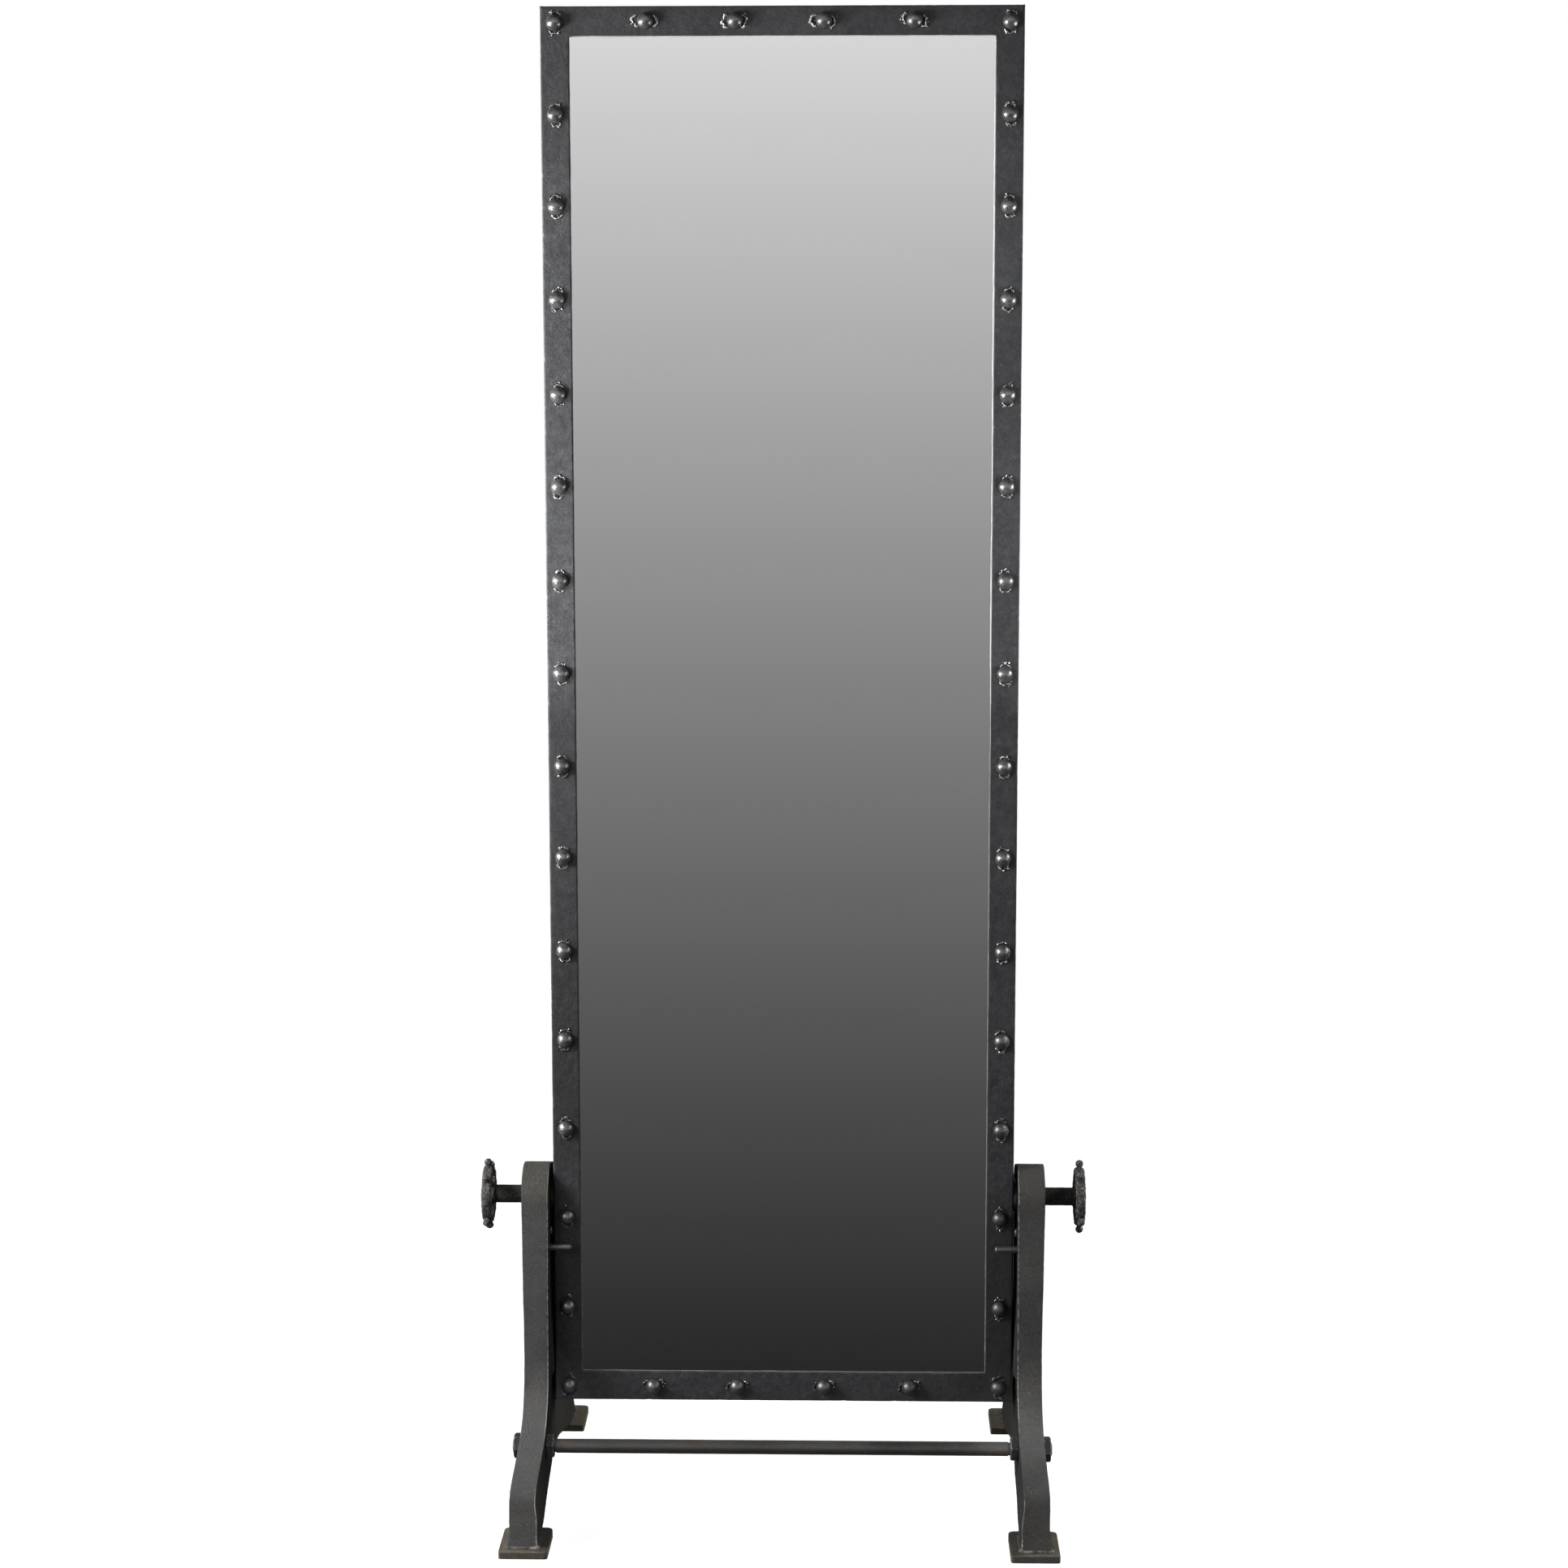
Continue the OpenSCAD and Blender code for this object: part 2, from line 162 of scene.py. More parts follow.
def make_piece(name, verts, faces, attrs=None, smooth=True, sharp=None):
    me = bpy.data.meshes.new(name)
    me.from_pydata(np.asarray(verts, float).tolist(), [], [tuple(f) for f in faces])
    me.update()
    for key, values in (attrs or {}).items():
        a = me.attributes.new(key, "FLOAT", "POINT")
        a.data.foreach_set("value", np.asarray(values, np.float32))
    if smooth:
        me.shade_smooth()
        if sharp is not None:
            me.set_sharp_from_angle(angle=math.radians(sharp))
    return link(bpy.data.objects.new(name, me))


def coords(me):
    co = np.zeros(len(me.vertices) * 3)
    me.vertices.foreach_get("co", co)
    return co.reshape(-1, 3)


def normals(me):
    no = np.zeros(len(me.vertices) * 3)
    me.vertex_normals.foreach_get("vector", no)
    return no.reshape(-1, 3)


def set_coords(me, co):
    me.vertices.foreach_set("co", np.asarray(co, float).ravel())
    me.update()


def edges_of(me):
    e = np.zeros(len(me.edges) * 2, np.int64)
    me.edges.foreach_get("vertices", e)
    return e.reshape(-1, 2)


def neighbour_mean(values, e, count):
    out = np.zeros_like(values)
    np.add.at(out, e[:, 0], values[e[:, 1]])
    np.add.at(out, e[:, 1], values[e[:, 0]])
    return out / (count[:, None] if values.ndim > 1 else count)


def degree(me, e):
    n = len(me.vertices)
    return np.maximum(np.bincount(e.ravel(), minlength=n), 1).astype(float)


def convexity(me, rounds=2):
    """How far each point stands out from its neighbours, smoothed a little. Positive on an edge."""
    co, no, e = coords(me), normals(me), edges_of(me)
    d = degree(me, e)
    c = np.einsum("ij,ij->i", co - neighbour_mean(co, e, d), no)
    for _ in range(rounds):
        c = 0.5 * c + 0.5 * neighbour_mean(c, e, d)
    return c


def set_attr(me, key, values):
    a = me.attributes.get(key) or me.attributes.new(key, "FLOAT", "POINT")
    a.data.foreach_set("value", np.asarray(values, np.float32))


def node_bmesh(node):
    bm = bmesh.new()
    bm.from_mesh(NODES[node].data)
    bmesh.ops.remove_doubles(bm, verts=bm.verts, dist=1e-5)
    return bm


def remeshed(name, node, voxel, smooth_steps):
    """A copy of a CAD node as an even skin of small quads, with its edges softened as a casting's are."""
    bm = node_bmesh(node)
    me = bpy.data.meshes.new(name + "_raw")
    bm.to_mesh(me)
    bm.free()
    o = link(bpy.data.objects.new(name + "_raw", me))
    r = o.modifiers.new("even", "REMESH")
    r.mode = "VOXEL"
    r.voxel_size = voxel
    r.adaptivity = 0.0
    if smooth_steps:
        s = o.modifiers.new("soft", "SMOOTH")
        s.factor = 0.5
        s.iterations = smooth_steps
    bpy.context.view_layer.update()
    dg = bpy.context.evaluated_depsgraph_get()
    out = bpy.data.meshes.new_from_object(o.evaluated_get(dg))
    out.name = name
    bpy.data.objects.remove(o)
    bpy.data.meshes.remove(me)
    out.materials.clear()
    out.shade_smooth()
    return link(bpy.data.objects.new(name, out))


def merge(name, parts, smooth=True, sharp=None):
    """One piece from (verts, faces, attrs) parts."""
    verts, faces, attrs, n = [], [], {}, 0
    keys = sorted({k for p in parts for k in p[2]})
    for v, f, a in parts:
        v = np.asarray(v, float)
        verts.append(v)
        faces.extend([tuple(int(i) + n for i in q) for q in f])
        for k in keys:
            attrs.setdefault(k, []).append(np.asarray(a.get(k, np.zeros(len(v))), float))
        n += len(v)
    return make_piece(
        name, np.concatenate(verts), faces, {k: np.concatenate(v) for k, v in attrs.items()}, smooth, sharp
    )


def grid_faces(rows, cols, wrap_cols=False, flip=False):
    r = np.arange(rows - 1)[:, None]
    c = np.arange(cols if wrap_cols else cols - 1)[None, :]
    a = r * cols + c
    b = r * cols + (c + 1) % cols
    d = (r + 1) * cols + c
    e = (r + 1) * cols + (c + 1) % cols
    q = np.stack([a, b, e, d] if not flip else [a, d, e, b], -1).reshape(-1, 4)
    return q.tolist()


# ------------------------------------------------------------------ material helpers


class Mat:
    """A small builder of node materials. Textures use object coordinates, so they stay on the piece."""

    def __init__(self, name):
        self.m = bpy.data.materials.new(name)
        self.m.use_nodes = True
        self.t = self.m.node_tree
        self.bsdf = self.t.nodes["Principled BSDF"]
        self.coord = self.t.nodes.new("ShaderNodeTexCoord").outputs["Object"]

    def new(self, kind):
        return self.t.nodes.new(kind)

    def put(self, value, socket):
        if isinstance(value, (int, float)):
            socket.default_value = value
        elif isinstance(value, (tuple, list)):
            socket.default_value = (*value, 1.0) if len(value) == 3 and socket.type == "RGBA" else value
        else:
            self.t.links.new(value, socket)

    def mapped(self, scale=(1, 1, 1), rotation=(0, 0, 0)):
        n = self.new("ShaderNodeMapping")
        n.inputs["Scale"].default_value = scale
        n.inputs["Rotation"].default_value = [math.radians(a) for a in rotation]
        self.t.links.new(self.coord, n.inputs["Vector"])
        return n.outputs["Vector"]

    def noise(self, size, detail=3.0, rough=0.55, distort=0.0, vec=None):
        n = self.new("ShaderNodeTexNoise")
        n.inputs["Scale"].default_value = 1.0 / size
        n.inputs["Detail"].default_value = detail
        n.inputs["Roughness"].default_value = rough
        n.inputs["Distortion"].default_value = distort
        self.t.links.new(vec or self.coord, n.inputs["Vector"])
        return n.outputs["Fac"]

    def cells(self, size, feature="F1", vec=None):
        n = self.new("ShaderNodeTexVoronoi")
        n.feature = feature
        n.inputs["Scale"].default_value = 1.0 / size
        self.t.links.new(vec or self.coord, n.inputs["Vector"])
        return n.outputs["Distance"]

    def attr(self, key):
        n = self.new("ShaderNodeAttribute")
        n.attribute_name = key
        return n.outputs["Fac"]

    def ramp(self, fac, stops):
        n = self.new("ShaderNodeValToRGB")
        el = n.color_ramp.elements
        while len(el) < len(stops):
            el.new(0.5)
        for e, (pos, col) in zip(el, stops):
            e.position = pos
            e.color = (col, col, col, 1) if isinstance(col, (int, float)) else (*col, 1)
        self.t.links.new(fac, n.inputs["Fac"])
        return n.outputs["Color"]

    def range(self, value, a, b, c=0.0, d=1.0):
        n = self.new("ShaderNodeMapRange")
        n.interpolation_type = "SMOOTHSTEP"
        self.put(value, n.inputs["Value"])
        for key, v in (("From Min", a), ("From Max", b), ("To Min", c), ("To Max", d)):
            n.inputs[key].default_value = v
        return n.outputs["Result"]

    def mix(self, fac, a, b):
        n = self.new("ShaderNodeMix")
        n.data_type = "RGBA"
        self.put(fac, n.inputs[0])
        self.put(a, n.inputs[6])
        self.put(b, n.inputs[7])
        return n.outputs[2]

    def math(self, op, a, b=None, c=None, clamp=False):
        n = self.new("ShaderNodeMath")
        n.operation = op
        n.use_clamp = clamp
        self.put(a, n.inputs[0])
        if b is not None:
            self.put(b, n.inputs[1])
        if c is not None:
            self.put(c, n.inputs[2])
        return n.outputs[0]

    def add(self, *parts):
        """Sum of (socket, weight) pairs."""
        out = None
        for s, w in parts:
            v = self.math("MULTIPLY", s, w)
            out = v if out is None else self.math("ADD", out, v)
        return out

    def bump(self, height, distance, strength=1.0, before=None):
        n = self.new("ShaderNodeBump")
        n.inputs["Strength"].default_value = strength
        n.inputs["Distance"].default_value = distance
        self.t.links.new(height, n.inputs["Height"])
        if before is not None:
            self.t.links.new(before, n.inputs["Normal"])
        return n.outputs["Normal"]

    def done(self, color=None, rough=None, metal=None, normal=None, **sockets):
        for key, v in (("Base Color", color), ("Roughness", rough), ("Metallic", metal), ("Normal", normal)):
            if v is not None:
                self.put(v, self.bsdf.inputs[key])
        for key, v in sockets.items():
            self.put(v, self.bsdf.inputs[key.replace("_", " ")])
        return self.m


def wear(o, m):
    o.data.materials.clear()
    o.data.materials.append(m)
    return o


# ------------------------------------------------------------------ materials


def iron_paint():
    """Blackened angle iron: a satin dark coat with a mottled grain, spatter specks and rubbed edges."""
    k = Mat("blackened_iron")
    big = k.noise(0.16, 3, 0.55)
    mid = k.noise(0.011, 4, 0.65)
    fine = k.noise(0.0030, 3, 0.65)
    base = k.ramp(k.add((big, 0.28), (mid, 0.36), (fine, 0.36)),
                  [(0.36, (0.024, 0.0243, 0.0265)), (0.50, (0.040, 0.0405, 0.0435)), (0.64, (0.064, 0.0645, 0.068))])
    speck = k.range(k.noise(0.0042, 2, 0.5), 0.70, 0.77)
    base = k.mix(k.math("MULTIPLY", speck, 0.45), base, (0.18, 0.18, 0.185))
    dark = k.range(k.noise(0.0065, 3, 0.6, 0.3), 0.33, 0.24)
    base = k.mix(k.math("MULTIPLY", dark, 0.45), base, (0.014, 0.014, 0.015))
    edge = k.range(k.math("ADD", k.attr("edge"), k.math("MULTIPLY", k.math("SUBTRACT", k.noise(0.011, 4, 0.7), 0.5), 1.5)), 0.62, 1.02)
    base = k.mix(k.math("MULTIPLY", edge, 0.50), base, (0.17, 0.17, 0.175))
    # painted shade: the stiles are darkened low on the right and in a band on the left, where they lie in shade; they
    # are also a little rougher there
    base = k.mix(k.math("MULTIPLY", k.attr("painted_shade"), 0.55), base, (0.010, 0.010, 0.0095))
    rough = k.add((k.range(mid, 0.3, 0.7, 0.42, 0.58), 1.0), (edge, -0.10), (k.attr("painted_shade"), 0.12))
    height = k.add((fine, 0.8), (k.noise(0.0075, 3, 0.6), 1.4), (k.noise(0.0012, 2, 0.6), 0.25))
    return k.done(base, rough, k.math("MULTIPLY", edge, 0.5), k.bump(height, 0.00050), Specular_IOR_Level=0.36)


def cast_iron(name, dark=1.0, grain=1.0, olive=0.35, brown=(0.062, 0.053, 0.038), speck=0.0):
    """Rough oiled casting: pitted skin, brownish patches, rubbed edges and painted glints. One attribute marks the
    edges rubbed bright and some painted highlights; the attribute side is painted shade, darkening the faces that lie
    in shade."""
    k = Mat(name)
    big = k.noise(0.060, 4, 0.6)
    mid = k.noise(0.010, 4, 0.65)
    fine = k.noise(0.0015, 3, 0.7)
    mixv = k.add((big, 0.4), (mid, 0.35), (fine, 0.25))
    d = dark
    base = k.ramp(mixv, [(0.34, (0.026 * d, 0.0258 * d, 0.0252 * d)), (0.50, (0.046 * d, 0.0452 * d, 0.0440 * d)),
                         (0.66, (0.074 * d, 0.0725 * d, 0.070 * d))])
    patch = k.range(k.math("ADD", k.noise(0.045, 4, 0.65, 0.4), k.math("MULTIPLY", k.attr("rust"), 0.30)), 0.52, 0.72)
    base = k.mix(k.math("MULTIPLY", patch, olive), base, tuple(c * d for c in brown))
    edge = k.range(k.math("ADD", k.attr("edge"), k.math("MULTIPLY", k.math("SUBTRACT", k.noise(0.006, 4, 0.7), 0.5), 1.3)), 0.50, 1.05)
    base = k.mix(k.math("MULTIPLY", edge, 0.55), base, (0.23, 0.225, 0.21))
    pits = k.range(k.cells(0.0024), 0.12, 0.42)
    base = k.mix(k.math("MULTIPLY", k.math("SUBTRACT", 1.0, pits), 0.45), base, (0.012, 0.012, 0.012))
    # painted glints: random bright specks in the colour stand in for highlights on the grain
    painted_glint = k.range(k.noise(0.0016, 2, 0.6), 0.58, 0.68)
    base = k.mix(k.math("MULTIPLY", painted_glint, 0.42), base, (0.18, 0.18, 0.18))
    if speck:
        chips = k.range(k.noise(0.0021, 3, 0.6), 0.55, 0.63)
        base = k.mix(k.math("MULTIPLY", chips, speck), base, (0.34, 0.33, 0.31))
        holes = k.range(k.noise(0.0026, 3, 0.6, 0.3), 0.45, 0.36)
        base = k.mix(k.math("MULTIPLY", holes, speck), base, (0.006, 0.006, 0.005))
    # painted shade: the side attribute darkens the faces that lie in shade, and makes them rougher
    side = k.attr("side")
    base = k.mix(k.math("MULTIPLY", side, 0.78), base, (0.006, 0.0058, 0.0052))
    # rubbed bright edges, plus painted highlights where the attribute is set for them
    rub_and_highlight = k.range(k.math("ADD", k.attr("rub_and_highlight"), k.math("MULTIPLY", k.math("SUBTRACT", k.noise(0.008, 3, 0.6), 0.5), 0.9)), 0.35, 0.75)
    base = k.mix(k.math("MULTIPLY", rub_and_highlight, 0.75), base, (0.36, 0.355, 0.34))
    rough = k.add((k.range(mid, 0.3, 0.7, 0.34, 0.50), 1.0), (edge, -0.10), (side, 0.34))
    height = k.add((fine, 1.1), (k.noise(0.0026, 4, 0.65), 1.5), (pits, 0.30), (k.noise(0.0008, 2, 0.6), 0.45))
    return k.done(base, rough, k.add((edge, 0.40), (big, 0.15)), k.bump(height, 0.00115 * grain), Specular_IOR_Level=0.45)


def stud_steel():
    k = Mat("stud_steel")
    mid = k.noise(0.007, 4, 0.6)
    fine = k.noise(0.0012, 3, 0.7)
    base = k.ramp(k.add((mid, 0.6), (fine, 0.4)), [(0.35, (0.13, 0.13, 0.132)), (0.55, (0.22, 0.22, 0.222)), (0.72, (0.34, 0.34, 0.342))])
    # painted contact shade: the dome is darker round its foot, against the face
    foot = k.range(k.attr("foot"), 0.3, 1.0)
    base = k.mix(k.math("MULTIPLY", foot, 0.75), base, (0.025, 0.025, 0.026))
    # painted shade: studs that lie in shade are darkened; they are also rougher
    dull = k.attr("dull")
    base = k.mix(k.math("MULTIPLY", dull, 0.72), base, (0.040, 0.040, 0.041))
    rough = k.add((k.range(mid, 0.3, 0.7, 0.25, 0.33), 1.0), (dull, 0.16))
    return k.done(base, rough, 0.75, k.bump(k.add((fine, 0.5), (k.noise(0.0035, 3, 0.6), 0.6)), 0.00014))


def weld_metal(name="weld_metal", ridge=(0.72, 0.71, 0.69), smooth=0.24):
    """Weld: dark slag with bright burnt steel on its ridges."""
    k = Mat(name)
    fine = k.noise(0.0011, 4, 0.7)
    bright = k.range(k.math("ADD", k.attr("bright"), k.math("MULTIPLY", k.math("SUBTRACT", fine, 0.5), 1.4)), 0.45, 0.80)
    base = k.mix(bright, (0.035, 0.034, 0.033), ridge)
    rough = k.range(bright, 0.0, 1.0, 0.50, smooth)
    return k.done(base, rough, k.range(bright, 0.0, 1.0, 0.25, 0.60), k.bump(k.add((fine, 1.0), (k.noise(0.0026, 3, 0.6), 1.0)), 0.0006))


def dark_steel(name, base_a=(0.035, 0.035, 0.036), base_b=(0.075, 0.075, 0.077), rough_a=0.34, rough_b=0.5, along=None, brown=0.0):
    k = Mat(name)
    vec = k.mapped(along) if along else None
    big = k.noise(0.030, 4, 0.6, vec=vec)
    fine = k.noise(0.0015, 3, 0.7, vec=vec)
    base = k.ramp(k.add((big, 0.65), (fine, 0.35)), [(0.35, base_a), (0.66, base_b)])
    if brown:
        patch = k.range(k.noise(0.016, 4, 0.65, 0.3), 0.46, 0.62)
        base = k.mix(k.math("MULTIPLY", patch, brown), base, (0.085, 0.064, 0.046))
        flake = k.range(k.noise(0.0032, 3, 0.6), 0.62, 0.70)
        base = k.mix(k.math("MULTIPLY", flake, brown), base, (0.150, 0.125, 0.100))
    edge = k.range(k.math("ADD", k.attr("edge"), k.math("MULTIPLY", k.math("SUBTRACT", k.noise(0.004, 3, 0.6), 0.5), 1.2)), 0.5, 1.0)
    base = k.mix(k.math("MULTIPLY", edge, 0.6), base, (0.32, 0.32, 0.315))
    return k.done(base, k.range(big, 0.3, 0.7, rough_a, rough_b), 0.55, k.bump(k.add((fine, 1.0), (k.noise(0.006, 3, 0.6), 0.8)), 0.00022))


def mirror_silver():
    k = Mat("silvered_glass")
    haze = k.noise(0.35, 4, 0.55)
    streak = k.noise(0.02, 4, 0.6, vec=k.mapped((6, 6, 0.6)))
    base = k.ramp(k.add((haze, 0.6), (streak, 0.4)), [(0.3, (0.862, 0.866, 0.864)), (0.7, (0.874, 0.878, 0.876))])
    return k.done(base, k.range(haze, 0.35, 0.7, 0.0, 0.012), 1.0)


def hardboard():
    k = Mat("hardboard")
    fibre = k.noise(0.0022, 5, 0.75, vec=k.mapped((1.0, 1.0, 0.55)))
    big = k.noise(0.12, 4, 0.6)
    base = k.ramp(k.add((fibre, 0.62), (big, 0.18), (k.noise(0.006, 3, 0.6), 0.20)), [(0.32, (0.085, 0.048, 0.025)), (0.5, (0.145, 0.085, 0.046)), (0.68, (0.21, 0.13, 0.075))])
    fleck = k.range(k.noise(0.0040, 2, 0.5), 0.66, 0.74)
    base = k.mix(k.math("MULTIPLY", fleck, 0.6), base, (0.05, 0.028, 0.015))
    return k.done(base, k.range(big, 0.3, 0.7, 0.55, 0.75), 0.0, k.bump(k.add((fibre, 1.0), (k.noise(0.0008, 2, 0.6), 0.4)), 0.0004))


def plain(name, a, b, size, rough_a, rough_b, metal=0.0, bump=0.0002, grain=0.0012):
    k = Mat(name)
    n = k.noise(size, 4, 0.65)
    f = k.noise(grain, 3, 0.7)
    return k.done(k.ramp(k.add((n, 0.6), (f, 0.4)), [(0.34, a), (0.66, b)]), k.range(n, 0.3, 0.7, rough_a, rough_b), metal,
                  k.bump(k.add((f, 1.0), (n, 0.6)), bump))


M_IRON = iron_paint()
M_CAST = cast_iron("cast_iron_leg", grain=1.25, olive=0.48)
# the right leg's copy is darker: painted shade, as less light reaches the right leg
M_CAST_RIGHT_SHADED = cast_iron("cast_iron_leg_right_shaded", dark=0.80, grain=1.25, olive=0.48)
M_FOOT = cast_iron("cast_iron_foot", dark=1.10, grain=0.8, olive=0.95, brown=(0.072, 0.061, 0.041))
M_WHEEL = cast_iron("cast_iron_wheel", dark=0.95, grain=1.0, olive=0.80, brown=(0.060, 0.044, 0.034), speck=0.85)
M_STUD = stud_steel()
M_WELD = weld_metal()
M_ROD = dark_steel("rod_steel", (0.048, 0.048, 0.048), (0.098, 0.098, 0.096), 0.30, 0.46, along=(0.35, 1, 1), brown=0.55)
M_NUT = dark_steel("nut_steel", (0.020, 0.020, 0.021), (0.046, 0.046, 0.047), 0.34, 0.5)
M_PIN = dark_steel("pin_steel", (0.075, 0.073, 0.070), (0.165, 0.162, 0.156), 0.30, 0.44)
M_MIRROR = mirror_silver()
M_BOARD = hardboard()
M_TAPE = plain("bedding_tape", (0.010, 0.010, 0.010), (0.026, 0.026, 0.026), 0.02, 0.7, 0.9)
M_CLIP = plain("clip_steel", (0.16, 0.155, 0.15), (0.33, 0.325, 0.315), 0.012, 0.30, 0.48, metal=0.85)
M_SCREW = plain("screw_steel", (0.22, 0.21, 0.19), (0.42, 0.41, 0.38), 0.006, 0.28, 0.42, metal=0.9)
M_FIBRE = plain("washer_fibre", (0.008, 0.007, 0.006), (0.020, 0.016, 0.013), 0.01, 0.7, 0.9)
# painted reflections: pale and grey colours for the bright line along the glass's edge
M_EDGE_REFLECTION_PALE = plain("edge_reflection_pale", (0.42, 0.43, 0.43), (0.68, 0.69, 0.69), 0.05, 0.30, 0.45)
M_EDGE_REFLECTION_GREY = plain("edge_reflection_grey", (0.13, 0.13, 0.135), (0.30, 0.30, 0.305), 0.02, 0.30, 0.45)
M_WELD_DULL = weld_metal("foot_weld", (0.26, 0.25, 0.235), 0.42)


# ------------------------------------------------------------------ frame members

X0 = max(abs(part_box("left_stile")[0].x), abs(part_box("right_stile")[1].x))
FACE_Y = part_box("left_stile")[0].y
BACK_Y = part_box("left_stile")[1].y
FZ0, FZ1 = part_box("left_stile")[0].z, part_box("left_stile")[1].z
STILE_W = X0 - abs(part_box("left_stile")[1].x)
TOP_W = FZ1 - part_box("top_rail")[0].z
BOT_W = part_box("bottom_rail")[1].z - FZ0
IRON_T = 3 * MM
PIVOT_Z = frame["joints"][0]["pos_m"][2]


def rounded(points, radii, arc=5):
    """Outline through the corners, each rounded; returns points and how near each is to a rounded corner."""
    out, tag = [], []
    n = len(points)
    for i in range(n):
        p, a, b = (np.array(points[j % n], float) for j in (i, i - 1, i + 1))
        u, v = (a - p) / np.linalg.norm(a - p), (b - p) / np.linalg.norm(b - p)
        r = radii[i]
        half = math.acos(np.clip(u @ v, -1, 1)) / 2
        t = r / math.tan(half)
        c = p + (u + v) / np.linalg.norm(u + v) * r / math.sin(half)
        s, e = p + u * t - c, p + v * t - c
        a0 = math.atan2(s[1], s[0])
        turn = (math.atan2(e[1], e[0]) - a0 + math.pi) % (2 * math.pi) - math.pi
        for k in range(arc + 1):
            ang = a0 + turn * k / arc
            out.append(c + r * np.array([math.cos(ang), math.sin(ang)]))
            tag.append(i)
    return np.array(out), np.array(tag)


def subdivide(points, tags, step):
    """Adds points along the flats."""
    out, tag = [], []
    n = len(points)
    for i in range(n):
        a, b = points[i], points[(i + 1) % n]
        d = np.linalg.norm(b - a)
        k = max(1, int(round(d / step)))
        for j in range(k):
            out.append(a + (b - a) * j / k)
            tag.append(tags[i] if j == 0 and tags[i] >= 0 else (tags[i] if tags[i] == tags[(i + 1) % n] else -1))
    return np.array(out), np.array(tag)


